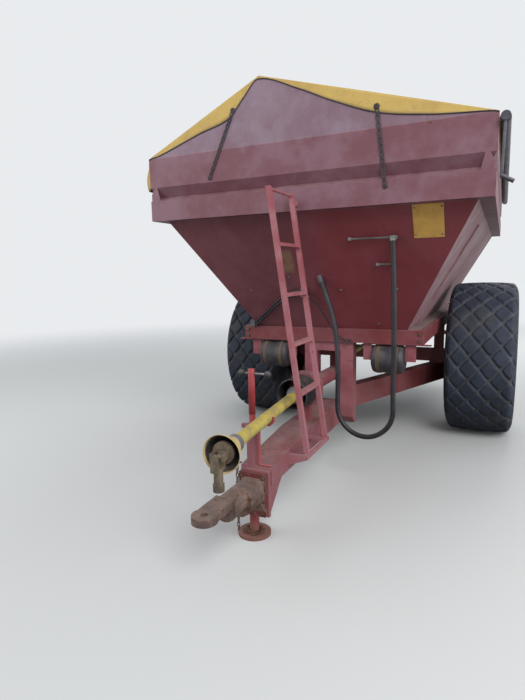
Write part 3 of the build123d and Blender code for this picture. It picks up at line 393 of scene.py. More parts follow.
BEVEL_SAMPLES = 4
EDGE_TURN = (0.995, 0.80)
RUST_DARK = srgb(62, 40, 32)
RUST_LIGHT = srgb(126, 78, 54)
DUST = srgb(138, 126, 118)
# Paler edge colour: worn paint and a painted highlight
EDGE_WEAR_AND_HIGHLIGHT = srgb(176, 120, 122)
GRIME = srgb(74, 52, 54)
GREY_DUST = srgb(104, 104, 106)
BROWN_STAIN = srgb(84, 76, 68)
RIDGE_DIRT = srgb(98, 84, 76)
# Painted shadow along the tarp's hem
HEM_SHADOW = srgb(70, 56, 48)
CLOTH_SPOT = srgb(122, 104, 80)
PATCH = srgb(136, 104, 80)
PATCH_X = (-0.265, -0.160)
PATCH_Z = (1.580, 1.735)
WEAVE_SCALE = 900.0


def front_wall_shade_and_patch(t, colour):
    # Painted shadow of the rim high on the wall, more purple; painted light low on the right, redder; and a
    # worn patch by the ladder.
    # high: painted shadow under the rim
    high = t.span(t.plus(t.place("Z"), t.times(t.noise(2.0), 0.10)), 1.73, 1.87)
    # right and low: painted light on the lower right of the wall
    right = t.span(t.place("X"), -0.25, 0.20)
    low = t.times(t.math("SUBTRACT", 1.0, high), right)
    colour = t.mix(t.times(high, 0.80), colour, srgb(118, 86, 104))
    colour = t.mix(t.times(low, 0.50), colour, srgb(138, 48, 56))
    patch = t.times(t.within("X", *PATCH_X, 0.015), t.within("Z", *PATCH_Z, 0.020))
    patch = t.times(patch, t.span(t.place("Y"), -0.5, -0.7))
    patch = t.times(patch, t.span(t.noise(14.0), 0.30, 0.50, 0.35, 0.85))
    return t.mix(patch, colour, PATCH)


def jack_tint(t, colour):
    # The foot is rusty and dusty, the tube brighter.
    low = t.span(t.plus(t.place("Z"), t.times(t.noise(30.0), 0.05)), 0.16, 0.05)
    rusty = t.mix(t.noise(60.0), srgb(98, 66, 56), srgb(132, 102, 88))
    return t.mix(t.times(low, 0.8), colour, rusty)


def flange_tint(t, colour):
    # The eye's flange carries the drawbar's paint, rubbed off in places.
    flange = t.span(t.place("Y"), FLANGE_FRONT - 0.006, FLANGE_FRONT - 0.001)
    worn = t.span(t.noise(16.0, 6.0, 0.7), 0.62, 0.48, 0.15, 0.95)
    return t.mix(t.times(flange, worn), colour, srgb(118, 52, 58))


def side_sky_light(t, colour):
    # Paler toward the top of the sloped side walls: painted sky light.
    pale = t.span(t.plus(t.place("Z"), t.times(t.noise(3.0), 0.3)), 1.45, 2.05)
    return t.mix(t.times(pale, 0.75), colour, srgb(172, 164, 170))


def weathered(name, deep, faded, rust, dust, rough, wear, tint):
    # Old paint: sun-faded in broad patches, streaked downward, paler along edges as worn paint with a painted
    # highlight, rusted in spots.
    t = Tree(name)
    broad = t.noise(1.4, 3.0, 0.5)
    cloudy = t.noise(7.0, 6.0, 0.65)
    streak = t.noise(9.0, 5.0, 0.7, (3.0, 3.0, 0.25))
    grain = t.noise(90.0, 6.0, 0.75)
    fade = t.span(t.plus(t.times(broad, 0.5), t.times(cloudy, 0.5)), 0.40, 0.60)
    colour = t.mix(fade, deep, faded)
    if tint:
        colour = tint(t, colour)
    colour = t.mix(t.span(streak, 0.55, 0.80, 0.0, 0.30), colour, GRIME)
    # Paler edges: worn paint and a painted highlight
    rim = t.edges(0.007)
    colour = t.mix(t.times(rim, t.span(cloudy, 0.35, 0.60, 0.15, 0.65)), colour, EDGE_WEAR_AND_HIGHLIGHT)
    spots = t.times(t.noise(17.0, 8.0, 0.75), t.noise(3.1, 3.0, 0.5))
    limit = 0.42 - 0.14 * rust
    rusted = t.span(spots, limit, limit + 0.05)
    worn = t.times(rim, t.span(t.noise(23.0, 6.0, 0.7), 0.50, 0.62, 0.0, wear))
    rusted = t.math("MAXIMUM", rusted, worn)
    rust_colour = t.mix(t.span(grain, 0.35, 0.65), RUST_DARK, RUST_LIGHT)
    colour = t.mix(rusted, colour, rust_colour)
    settled = t.times(t.upward(0.35, 0.9), t.span(cloudy, 0.30, 0.60, 0.20, 0.8))
    low = t.span(t.place("Z"), 1.1, 0.1, 0.0, 0.40)
    film = t.times(low, t.span(streak, 0.35, 0.65))
    dusty = t.times(t.math("MAXIMUM", settled, film), dust)
    colour = t.mix(dusty, colour, DUST)
    surface = t.plus(t.span(grain, 0.3, 0.7, rough - 0.08, rough + 0.08), t.times(rusted, 0.3))
    height = t.plus(t.times(grain, 0.4), t.times(rusted, 0.4))
    t.bump(height, 0.25, 0.002)
    return t.finish(colour, surface)


def bare_metal(name, clean, dirty, metal, rough, rust, tint):
    # Zinc or worn steel with stains and some rust.
    t = Tree(name)
    cloudy = t.noise(11.0, 6.0, 0.65)
    grain = t.noise(120.0, 5.0, 0.7)
    colour = t.mix(t.span(cloudy, 0.35, 0.65), clean, dirty)
    if tint:
        colour = tint(t, colour)
    rusted = t.span(t.noise(19.0, 8.0, 0.75), 0.66 - 0.22 * rust, 0.76 - 0.22 * rust)
    colour = t.mix(rusted, colour, t.mix(t.span(grain, 0.35, 0.65), RUST_DARK, RUST_LIGHT))
    colour = t.mix(t.times(t.upward(0.4, 0.95, 0.0, 0.35), cloudy), colour, DUST)
    t.shader.inputs["Metallic"].default_value = metal
    t.bump(t.plus(t.times(grain, 0.5), t.times(rusted, 0.5)), 0.3, 0.0015)
    return t.finish(colour, t.span(grain, 0.3, 0.7, rough - 0.1, rough + 0.12))


def dull(name, base, stained, rough, dust):
    # Rubber or plastic: one colour with stains, scuffs and settled dust.
    t = Tree(name)
    cloudy = t.noise(12.0, 6.0, 0.65)
    grain = t.noise(150.0, 5.0, 0.7)
    colour = t.mix(t.span(cloudy, 0.35, 0.68), base, stained)
    scuffed = t.times(t.edges(0.004), t.span(grain, 0.45, 0.6, 0.0, 0.4))
    colour = t.mix(scuffed, colour, DUST)
    up = t.upward(0.2, 0.95, 0.15, 1.0)
    settled = t.times(t.times(up, t.span(cloudy, 0.25, 0.65)), dust)
    colour = t.mix(settled, colour, DUST)
    t.bump(grain, 0.2, 0.001)
    return t.finish(colour, t.span(grain, 0.3, 0.7, rough - 0.08, rough + 0.1))


def tread(name, base, stained, rough, dust):
    # Tyre rubber: blue-black blocks, pale dust in the grooves, fine cracks in the surface.
    t = Tree(name)
    cloudy = t.noise(6.0, 6.0, 0.65)
    grain = t.noise(140.0, 5.0, 0.7)
    colour = t.mix(t.span(cloudy, 0.38, 0.66), base, stained)
    groove = t.attribute("groove")
    shore = t.times(groove, t.span(cloudy, 0.25, 0.60, 0.35, 0.85))
    colour = t.mix(t.times(shore, dust), colour, GREY_DUST)
    brown = t.times(t.span(t.noise(2.5, 5.0, 0.6), 0.50, 0.70), 0.35)
    colour = t.mix(brown, colour, BROWN_STAIN)
    cracks = t.noise(45.0, 4.0, 0.6)
    height = t.plus(t.times(grain, 0.5), t.times(cracks, 0.5))
    t.bump(height, 0.35, 0.002)
    return t.finish(colour, t.span(grain, 0.3, 0.7, rough - 0.08, rough + 0.1))


def cloth(name, base, stained, rough, dust):
    # Coated yellow cloth: fine weave, broad stains, dirt near the ridge and painted shadow along the hem.
    t = Tree(name)
    cloudy = t.noise(4.0, 6.0, 0.65)
    colour = t.mix(t.span(cloudy, 0.35, 0.65), base, stained)
    grain = t.noise(60.0, 6.0, 0.7)
    ridge = t.span(t.plus(t.place("Z"), t.times(t.noise(9.0), 0.16)), 2.84, 2.95, 0.0, 0.9)
    colour = t.mix(ridge, colour, RIDGE_DIRT)
    # Darker along the hem: painted shadow
    hem = t.times(t.attribute("hem"), t.span(grain, 0.25, 0.60, 0.5, 0.9))
    colour = t.mix(hem, colour, HEM_SHADOW)
    spots = t.times(t.span(t.noise(26.0, 7.0, 0.75), 0.56, 0.68), dust)
    colour = t.mix(spots, colour, CLOTH_SPOT)
    weave = t.nodes.new("ShaderNodeTexChecker")
    weave.inputs["Scale"].default_value = WEAVE_SCALE
    t.links.new(t.coords, weave.inputs["Vector"])
    height = t.plus(t.times(weave.outputs["Fac"], 0.3), t.times(grain, 0.6))
    t.bump(height, 0.25, 0.001)
    t.shader.inputs["Sheen Weight"].default_value = 0.1
    return t.finish(colour, t.span(grain, 0.3, 0.7, rough - 0.06, rough + 0.08))


PAINTS = (
    # name, deep colour, faded colour, rust, dust, roughness, wear at edges, tint
    ("wall_paint", (112, 58, 66), (124, 74, 82), 0.25, 0.5, 0.50, 0.5, None),
    # Front wall: its tint paints the rim's shadow high up and light low on the right
    ("front_wall_paint_and_shade", (110, 58, 66), (122, 72, 80), 0.20, 0.4, 0.45, 0.5, front_wall_shade_and_patch),
    # Rim band and upper panels: mauve as a painted reflection of the sky on the red paint
    ("band_paint_and_reflection", (114, 68, 78), (128, 92, 104), 0.12, 0.4, 0.55, 0.5, None),
    ("gable_paint", (126, 98, 110), (140, 118, 132), 0.12, 0.3, 0.60, 0.5, None),
    ("frame_paint", (112, 42, 46), (124, 64, 70), 0.40, 0.6, 0.55, 0.5, None),
    ("faded_paint", (134, 62, 70), (150, 90, 98), 0.45, 0.6, 0.60, 0.5, None),
    ("box_paint", (130, 62, 70), (146, 88, 96), 0.45, 0.6, 0.60, 0.5, None),
    ("ladder_paint", (150, 78, 86), (166, 108, 116), 0.35, 0.5, 0.60, 0.5, None),
    ("jack_paint", (156, 48, 52), (164, 72, 76), 0.45, 0.3, 0.50, 0.5, jack_tint),
    ("handle_paint", (152, 46, 50), (162, 68, 72), 0.40, 0.2, 0.45, 0.3, None),
    # Side walls: paler than the front wall's paint as painted sky light, with real dust
    ("side_paint_and_sky_light", (138, 102, 108), (156, 132, 138), 0.30, 0.8, 0.70, 0.5, side_sky_light),
)
METALS = (
    # name, clean colour, dirty colour, metal share, roughness, rust, tint
    ("zinc", (140, 142, 142), (104, 102, 102), 0.55, 0.50, 0.25, None),
    ("dark_steel", (92, 90, 98), (64, 60, 68), 0.45, 0.50, 0.30, None),
    ("worn_steel", (112, 100, 94), (86, 70, 60), 0.45, 0.50, 0.75, None),
    ("rusty_chain", (104, 84, 70), (78, 60, 50), 0.35, 0.60, 1.10, None),
    ("cast_eye", (138, 114, 102), (100, 82, 78), 0.25, 0.55, 0.60, flange_tint),
    ("yoke_metal", (132, 118, 98), (92, 80, 72), 0.30, 0.50, 0.40, None),
)
SOFT_OR_PLASTIC = (
    # name, maker, base colour, stained colour, roughness, dust
    ("yellow_tarp", cloth, (200, 168, 90), (184, 152, 84), 0.62, 0.35),
    ("tyre_rubber", tread, (35, 42, 56), (48, 57, 74), 0.72, 0.6),
    ("grey_plastic", dull, (112, 116, 122), (88, 88, 92), 0.55, 0.4),
    ("dark_strap", dull, (38, 34, 42), (56, 50, 56), 0.65, 0.25),
    ("belt_rubber", dull, (36, 36, 38), (58, 56, 54), 0.80, 0.5),
    ("tank_paint", dull, (40, 42, 50), (62, 60, 64), 0.50, 0.3),
    ("brown_band", dull, (104, 84, 62), (78, 66, 54), 0.60, 0.4),
    ("yellow_plastic", dull, (196, 178, 84), (164, 146, 88), 0.50, 0.25),
    ("tan_plastic", dull, (226, 200, 140), (196, 174, 126), 0.55, 0.25),
    ("black_plastic", dull, (32, 32, 37), (52, 50, 54), 0.45, 0.3),
    ("yellow_sheet", dull, (212, 168, 84), (194, 148, 78), 0.50, 0.15),
    ("red_lens", dull, (120, 16, 18), (90, 18, 18), 0.25, 0.2),
    ("hose_rubber", dull, (24, 26, 33), (38, 38, 45), 0.50, 0.15),
)
made = {}
for name, deep, faded, *shares in PAINTS:
    made[name] = weathered(name, srgb(*deep), srgb(*faded), *shares)
for name, clean, dirty, *shares in METALS:
    made[name] = bare_metal(name, srgb(*clean), srgb(*dirty), *shares)
for name, maker, base, stained, *shares in SOFT_OR_PLASTIC:
    made[name] = maker(name, srgb(*base), srgb(*stained), *shares)

COATS = {
    "frame_paint": (
        "axle", "bolsters", "drawbar_legs", "front_crossbeam", "guard_arms", "middle_tie", "rear_guard",
        "rear_tie", "sills", "spinner_cross_tube", "spinner_hangers",
    ),
    "faded_paint": ("driveline_tube", "front_posts", "reservoir_brackets"),
    "box_paint": ("drawbar",),
    "ladder_paint": ("ladder", "ladder_bracket"),
    "jack_paint": ("jack_leg", "shaft_cradle"),
    "handle_paint": ("jack_handle",),
    "wall_paint": ("hopper_rear_wall",),
    "front_wall_paint_and_shade": ("hopper_front_wall",),
    "side_paint_and_sky_light": ("hopper_left_wall", "hopper_right_wall"),
    "band_paint_and_reflection": ("upper_panel_ends", "upper_panel_sides"),
    "gable_paint": ("gables",),
    "zinc": ("hose_holders", "outlet_gate", "ridge_pole", "spinner_left", "spinner_right"),
    "dark_steel": ("hose_glands", "tarp_roll"),
    "worn_steel": ("belt_rollers", "gear_case", "wheel_rim_left", "wheel_rim_right"),
    "cast_eye": ("drawbar_eye",),
    "yoke_metal": ("shaft_yoke",),
    "yellow_tarp": ("tarp",),
    "dark_strap": ("tarp_straps",),
    "tyre_rubber": ("tyre_left", "tyre_right"),
    "belt_rubber": ("floor_belt",),
    "hose_rubber": ("cable_front", "hose_left_lower", "hose_left_upper", "hose_main"),
    "tank_paint": ("reservoirs",),
    "yellow_plastic": ("rear_shaft_guard", "shaft_guard"),
    "tan_plastic": ("shaft_front_cone",),
    "grey_plastic": ("shaft_rear_cone",),
    "black_plastic": ("shaft_bell",),
    "yellow_sheet": ("blank_plate",),
    "red_lens": ("lamps",),
}
coat_of = {node: material for material, members in COATS.items() for node in members}
for name, obj in nodes.items():
    obj.data.materials.clear()
    obj.data.materials.append(made[coat_of[name]])
for hose in hoses:
    hose.data.materials.append(made["hose_rubber"])


# Mesh helpers
BOLT_PARTS = (
    # closed line of (radius, height) in bolt sizes, sides: washer, head, end of the thread
    (((1.35, 0.0), (1.35, 0.16), (1.25, 0.20), (0.9, 0.20)), 20),
    (((0.95, 0.18), (1.0, 0.26), (1.0, 0.72), (0.84, 0.86)), 6),
    (((0.46, 0.80), (0.46, 1.05), (0.36, 1.14)), 14),
)


def ring_of(centre, side, up, radius, sides):
    ring = []
    for k in range(sides):
        a = 2 * math.pi * k / sides
        ring.append(centre + side * (radius * math.cos(a)) + up * (radius * math.sin(a)))
    return ring


class Shape:
    # Collects the vertices and faces of one piece.
    def __init__(self):
        self.verts = []
        self.faces = []

    def add(self, verts, faces):
        start = len(self.verts)
        self.verts += [tuple(v) for v in verts]
        self.faces += [tuple(start + i for i in face) for face in faces]

    def rings(self, rings, closed=False, caps=False):
        # Quads between rings of as many points each.
        count = len(rings[0])
        verts = [v for ring in rings for v in ring]
        faces = []
        total = len(rings)
        for a in range(total if closed else total - 1):
            b = (a + 1) % total
            for i in range(count):
                j = (i + 1) % count
                faces.append((a * count + i, a * count + j, b * count + j, b * count + i))
        if caps:
            faces.append(tuple(reversed(range(count))))
            faces.append(tuple((total - 1) * count + i for i in range(count)))
        self.add(verts, faces)

    def grid(self, points, rows, columns, turned=False):
        # Quads between rows of points.
        faces = []
        for k in range(rows - 1):
            for i in range(columns - 1):
                a = k * columns + i
                b = a + columns
                quad = (a, a + 1, b + 1, b)
                faces.append(quad[::-1] if turned else quad)
        self.add(points, faces)


def add_piece(name, shape, material, body, smooth=True, marks=None, hide=()):
    mesh = bpy.data.meshes.new(name)
    mesh.from_pydata(shape.verts, [], shape.faces)
    for key, values in (marks or {}).items():
        layer = mesh.attributes.new(key, "FLOAT", "POINT")
        layer.data.foreach_set("value", values)
    mesh.validate()
    obj = link(bpy.data.objects.new(name, mesh))
    mesh.materials.append(made[material])
    if smooth:
        mesh.shade_smooth()
    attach(obj, body)
    if hide:
        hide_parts(*hide)
    return obj


def frame_at(forward):
    forward = Vector(forward).normalized()
    side = forward.cross(Vector((0, 0, 1)))
    if side.length < 0.01:
        side = Vector((1, 0, 0))
    side.normalize()
    return side, side.cross(forward), forward


def lathe(shape, origin, forward, line, sides):
    # A closed line of (radius, distance) turned about the axis.
    side, up, ahead = frame_at(forward)
    rings = [ring_of(Vector(origin) + ahead * d, side, up, r, sides) for r, d in line]
    shape.rings(rings, closed=True)


def tube(shape, points, radius, sides):
    # A round bar through the points, with flat ends.
    rings = []
    for i, point in enumerate(points):
        before = points[max(0, i - 1)]
        after = points[min(len(points) - 1, i + 1)]
        side, up, ahead = frame_at(Vector(after) - Vector(before))
        rings.append(ring_of(Vector(point), side, up, radius, sides))
    shape.rings(rings, caps=True)


def bolt(shape, place, normal, size):
    # A washer, a chamfered hexagon head and the end of the thread.
    side, up, out = frame_at(normal)
    for line, sides in BOLT_PARTS:
        rings = [ring_of(Vector(place) + out * (d * size), side, up, r * size, sides) for r, d in line]
        shape.rings(rings, caps=True)


def smooth_step(value):
    share = min(1.0, max(0.0, value))
    return share * share * (3 - 2 * share)


def wall_y(z):
    return WALL_FOOT_Y + WALL_RUN * (z - WALL_FOOT_Z)


# Tyres with a worn tread of diamond blocks that wrap on to the shoulders
TREAD_STEP = 0.084
TREAD_PITCHES = 22
TREAD_DEPTH = 0.020
BLOCK_REACH = 0.86
BLOCK_ROUND = 1.12
BLOCK_SLOPE = 0.11
BLOCK_WANDER = 0.006
WORN_SHARE = 0.16
LUMP = 0.0012
TREAD_EDGE = 0.315
FADE_START = 0.02
FADE_RUN = 0.035
TYRE_LINE = [
    # radius, distance from the wheel's middle
    (0.724, 0.0),
    (0.724, 0.065),
    (0.721, 0.150),
    (0.714, 0.240),
    (0.705, 0.258),
    (0.692, 0.268),
    (0.668, 0.281),
    (0.640, 0.290),
    (0.600, 0.294),
    (0.560, 0.295),
    (0.510, 0.291),
    (0.450, 0.283),
    (0.400, 0.268),
    (0.352, 0.251),
    (0.337, 0.250),
]
CROWN_STEP = 0.0070
CROWN_REACH = TREAD_EDGE + 0.03
SIDE_STEP = 0.030
ROUND_STEPS = 484


def tyre_outline():
    # Points of the profile with their distance along it, close together on the tread.
    points = []
    run = 0.0
    for (r0, x0), (r1, x1) in zip(TYRE_LINE, TYRE_LINE[1:]):
        length = math.hypot(r1 - r0, x1 - x0)
        step = CROWN_STEP if run < CROWN_REACH else SIDE_STEP
        count = max(1, round(length / step))
        for i in range(count):
            share = i / count
            points.append((r0 + (r1 - r0) * share, x0 + (x1 - x0) * share, run + length * share))
        run += length
    points.append((*TYRE_LINE[-1], run))
    return [(r, -x, -run) for r, x, run in reversed(points[1:])] + points


def block_height(turn, run):
    # 1 on a block of the diamond lattice, 0 in the grooves. A middle block is at the ground.
    pitch = 2 * math.pi / TREAD_PITCHES
    best = 9.0
    column = round(run / TREAD_STEP)
    for c in (column - 1, column, column + 1):
        across = abs(run / TREAD_STEP - c)
        phase = (turn + math.pi / 2) / pitch - 0.5 * (c % 2)
        along = abs(phase - round(phase)) * 2
        far = (across**BLOCK_ROUND + along**BLOCK_ROUND) ** (1 / BLOCK_ROUND)
        best = min(best, far)
    return smooth_step((BLOCK_REACH - best) / BLOCK_SLOPE)


def groove_at(x, c, s, turn, run):
    # How deep the tread is cut at a point: 0 on a block, about 1 in a groove.
    fade = 1 - smooth_step((abs(run) - TREAD_EDGE + FADE_START) / FADE_RUN)
    if fade <= 0:
        return 0.0
    worn = 1 + WORN_SHARE * noise.noise(Vector((x * 30, c * 14, s * 14)))
    wander = BLOCK_WANDER * noise.noise(Vector((x * 26, c * 16 - 3, s * 16)))
    twist = BLOCK_WANDER / TYRE_R * noise.noise(Vector((x * 26 + 9, c * 16, s * 16)))
    return fade * min(1.0, (1 - block_height(turn + twist, run + wander)) * worn)


def build_tyre(side, name):
    profile = tyre_outline()
    verts = []
    grooves = []
    for k in range(ROUND_STEPS):
        turn = 2 * math.pi * k / ROUND_STEPS
        c = math.cos(turn)
        s = math.sin(turn)
        for r, x, run in profile:
            groove = groove_at(x, c, s, turn, run)
            lump = abs(LUMP * noise.noise(Vector((x * 22, c * 9 + 4, s * 9))))
            radius = r - TREAD_DEPTH * groove - lump
            verts.append((side * (WHEEL_X + x), AXLE_Y + radius * c, TYRE_R + radius * s))
            grooves.append(groove)
    count = len(profile)
    faces = []
    for k in range(ROUND_STEPS):
        other = (k + 1) % ROUND_STEPS
        for i in range(count - 1):
            quad = (k * count + i, k * count + i + 1, other * count + i + 1, other * count + i)
            faces.append(quad[::-1] if side > 0 else quad)
    shape = Shape()
    shape.add(verts, faces)
    add_piece(
        f"tread_{name}",
        shape,
        "tyre_rubber",
        f"wheel_{name}",
        marks={"groove": grooves},
        hide=[f"tyre_{name}"],
    )


for side, name in ((-1, "left"), (1, "right")):
    build_tyre(side, name)


# Tarp: one sheet over the ridge with a curved hem at the front and at the rear
HEM = (
    (-1.200, 2.436),
    (-1.098, 2.453),
    (-0.741, 2.563),
    (-0.503, 2.631),
    (-0.385, 2.750),
    (-0.275, 2.850),
    (0.030, 2.735),
    (0.224, 2.642),
    (0.515, 2.526),
    (0.831, 2.469),
    (1.150, 2.442),
    (1.200, 2.436),
)
HEM_BELOW_ROOF = 0.004
TARP_HALF = 0.0015
TARP_FRONT = BAND_FRONT - TARP_HALF
TARP_REAR = BAND_REAR + TARP_HALF
TARP_ROWS = 110
SLOPE_STEPS = 26
FLAP_STEPS = 8
SAG = 0.022
FOLD = 0.010
END_RUN = 0.25
FLAP_BULGE = 0.055
BULGE_RISE = 0.035
BULGE_SETTLE = 0.9
FLAP_WAVE = 0.006
END_COLUMNS = 120
END_ROWS = 8
END_WAVE = 0.0025
CORD_STEPS = 96
CORD_R = 0.0035


def roof_z(x):
    if x < APEX[0]:
        share = (x + BAND_HALF) / (APEX[0] + BAND_HALF)
    else:
        share = (BAND_HALF - x) / (BAND_HALF - APEX[0])
    return PANEL_TOP + (APEX[1] - PANEL_TOP) * share


def hem_z(x):
    # The hem's height, in a smooth line through the points.
    for i in range(len(HEM) - 1):
        x0, z0 = HEM[i]
        x1, z1 = HEM[i + 1]
        if x <= x1 or i == len(HEM) - 2:
            break
    before = HEM[max(0, i - 1)]
    after = HEM[min(len(HEM) - 1, i + 2)]
    width = x1 - x0
    share = (x - x0) / width
    slope0 = (z1 - before[1]) / (x1 - before[0]) * width
    slope1 = (after[1] - z0) / (after[0] - x0) * width
    a = share * share
    b = a * share
    z = (2 * b - 3 * a + 1) * z0 + (b - 2 * a + share) * slope0 + (3 * a - 2 * b) * z1 + (b - a) * slope1
    return min(z, roof_z(x) - HEM_BELOW_ROOF)


def tarp_section():
    # (x, z, slope share, flap share) from the roll, over the ridge, to the left flap's end.
    points = [(BAND_HALF + TARP_HALF, ROLL_TOP, 0.0, 0.0)]
    for start, end, first in ((BAND_HALF, APEX[0], 0), (APEX[0], -BAND_HALF, 1)):
        for i in range(first, SLOPE_STEPS + 1):
            x = start + (end - start) * i / SLOPE_STEPS
            points.append((x, roof_z(x) + TARP_HALF, math.sin(math.pi * i / SLOPE_STEPS), 0.0))
    for i in range(1, FLAP_STEPS + 1):
        share = i / FLAP_STEPS
        z = PANEL_TOP + (FLAP_LOW - PANEL_TOP) * share
        points.append((-BAND_HALF - TARP_HALF, z, 0.0, share))
    return points


def add_roof(shape, hems):
    # Both slopes with a shallow sag and folds, and the flap that bulges over the front corner.
    section = tarp_section()
    verts = []
    for k in range(TARP_ROWS + 1):
        y = TARP_FRONT + (TARP_REAR - TARP_FRONT) * k / TARP_ROWS
        from_front = y - TARP_FRONT
        ends = smooth_step(min(from_front, TARP_REAR - y) / END_RUN)
        settle = 0.35 + 0.65 * (1 - smooth_step((from_front - 0.05) / BULGE_SETTLE))
        reach = FLAP_BULGE * smooth_step(from_front / BULGE_RISE) * settle
        for x, z, slope, flap in section:
            fold = noise.noise(Vector((x * 3.0, y * 2.2, z * 3.0)))
            fold += 0.4 * noise.noise(Vector((x * 8, y * 7, 5)))
            down = slope * ends * (SAG + FOLD * fold)
            bulge = reach * math.sin(math.pi * min(1.0, flap * 0.72))
            wave = FLAP_WAVE * flap * noise.noise(Vector((7, y * 6, 1)))
            verts.append((x - bulge + wave, y, z - down))
            # hems: how much painted hem shadow falls on the flap's lower edge
            hems.append(smooth_step((flap - 0.86) / 0.1) * 0.5)
    shape.grid(verts, TARP_ROWS + 1, len(section))


def add_ends(shape, hems):
    # The sheet's front and rear faces, from the roof down to the curved hem.
    for y, out in ((TARP_FRONT, -1), (TARP_REAR, 1)):
        verts = []
        for i in range(END_COLUMNS + 1):
            x = -BAND_HALF + 2 * BAND_HALF * i / END_COLUMNS
            top = roof_z(x) + TARP_HALF
            low = hem_z(x)
            for j in range(END_ROWS + 1):
                share = j / END_ROWS
                wave = noise.noise(Vector((x * 9, share * 2, out))) * END_WAVE * share
                verts.append((x, y + out * abs(wave), top + (low - top) * share))
                # hems: how much painted hem shadow falls near the hem
                hems.append(smooth_step((share - 0.80) / 0.15) * 0.8)
        shape.grid(verts, END_COLUMNS + 1, END_ROWS + 1, turned=out > 0)


def build_tarp():
    shape = Shape()
    hems = []
    add_roof(shape, hems)
    add_ends(shape, hems)
    tarp = add_piece(
        "tarp_sheet", shape, "yellow_tarp", "spreader", marks={"hem": hems}, hide=["tarp"]
    )
    area = round(sum(face.area for face in tarp.data.polygons), 3)
    skin = tarp.modifiers.new("thickness", "SOLIDIFY")
    skin.thickness = 2 * TARP_HALF
    skin.offset = 0
    return tarp, area


def build_hem_shadow_line():
    # A dark cord along the hem at both ends that stands in for the shadow line under the hem: painted shade.
    shape = Shape()
    for y in (TARP_FRONT - TARP_HALF, TARP_REAR + TARP_HALF):
        xs = [-BAND_HALF + 2 * BAND_HALF * i / CORD_STEPS for i in range(CORD_STEPS + 1)]
        tube(shape, [(x, y, hem_z(x) + 0.002) for x in xs], CORD_R, 8)
    return add_piece("tarp_hem_shadow_line", shape, "dark_strap", "spreader")


tarp, tarp_area = build_tarp()
hem = build_hem_shadow_line()


# Rubber straps with a row of holes that hold the front hem
STRAPS = (
    # head, foot
    ((-0.470, 2.680), (-0.671, 2.255)),
    ((0.519, 2.560), (0.577, 2.090)),
)
STRAP_BACK = BAND_FRONT - 0.0035
STRAP_LINK = 0.042
STRAP_HALF = 0.013
HOLE_HALF = 0.0055
LINK_SHARE = 0.53
HOLE_SHARE = 0.26
SQUARED = 0.6
STRAP_DEPTHS = (0.0025, -0.0035)


def add_strap_link(shape, centre, across, down, step):
    # A squared ring, as wide as the strap and open in the middle.
    hole = []
    rim = []
    for k in range(16):
        a = 2 * math.pi * k / 16
        c = math.copysign(abs(math.cos(a)) ** SQUARED, math.cos(a))
        s = math.copysign(abs(math.sin(a)) ** SQUARED, math.sin(a))
        rim.append(centre + across * (STRAP_HALF * s) + down * (step * LINK_SHARE * c))
        hole.append(centre + across * (HOLE_HALF * s) + down * (step * HOLE_SHARE * c))
    back, front = (Vector((0, depth, 0)) for depth in STRAP_DEPTHS)
    loops = ((hole, back), (rim, back), (rim, front), (hole, front))
    shape.rings([[v + shift for v in loop] for loop, shift in loops], closed=True)


def build_straps():
    shape = Shape()
    for head, foot in STRAPS:
        run = math.hypot(head[0] - foot[0], head[1] - foot[1])
        down = Vector((foot[0] - head[0], 0, foot[1] - head[1])) / run
        across = Vector((down.z, 0, -down.x))
        top = Vector((head[0], STRAP_BACK, head[1]))
        links = round(run / STRAP_LINK)
        step = run / links
        for i in range(links):
            add_strap_link(shape, top + down * (step * (i + 0.5)), across, down, step)
        for end, r in ((top, 0.019), (top + down * run, 0.016)):
            button = [(0.004, -0.002), (r, -0.002), (r, 0.003), (r * 0.7, 0.006), (0.004, 0.006)]
            lathe(shape, end, (0, -1, 0), button, 24)
    add_piece("hem_straps", shape, "dark_strap", "spreader", smooth=False, hide=["tarp_straps"])


build_straps()

# Bolts, studs and rivets
WALL_NORMAL = (0, -0.832, -0.555)
BEAM_FRONT = -0.984
RIVET_SUNK = 0.002
WALL_STUDS = ((-0.589, 1.441), (-0.226, 1.541), (0.166, 1.438), (0.415, 1.175), (0.580, 1.444))
FASTENERS = (
    # name, material, slot, normal, size, places
    (
        "flange_bolts",
        "rusty_chain",
        "bare_steel",
        (0, -1, 0),
        0.013,
        [(x, FLANGE_FRONT, z) for x in (-0.072, 0.066) for z in (0.190, 0.262, 0.334, 0.402)],
    ),
    (
        "wall_studs",
        "zinc",
        "galvanised",
        WALL_NORMAL,
        0.007,
        [(x, wall_y(z), z) for x, z in WALL_STUDS],
    ),
    (
        "plate_rivets",
        "zinc",
        "galvanised",
        WALL_NORMAL,
        0.005,
        [(x, wall_y(z) - RIVET_SUNK, z) for x in (0.738, 0.902) for z in (1.800, 1.960)],
    ),
    (
        "beam_bolts",
        "worn_steel",
        "bare_steel",
        (0, -1, 0),
        0.011,
        [(x, BEAM_FRONT, z) for x in (-0.715, 0.715) for z in (1.045, 1.098)],
    ),
    (
        "bearing_bolts",
        "worn_steel",
        "bare_steel",
        (0, -1, 0),
        0.011,
        [(x, BEARING[1], z) for x in (-0.048, 0.048) for z in (0.665, 0.880)],
    ),
)
for name, material, slot, normal, size, places in FASTENERS:
    shape = Shape()
    for place in places:
        bolt(shape, place, normal, size)
    add_piece(name, shape, material, "spreader", smooth=False)

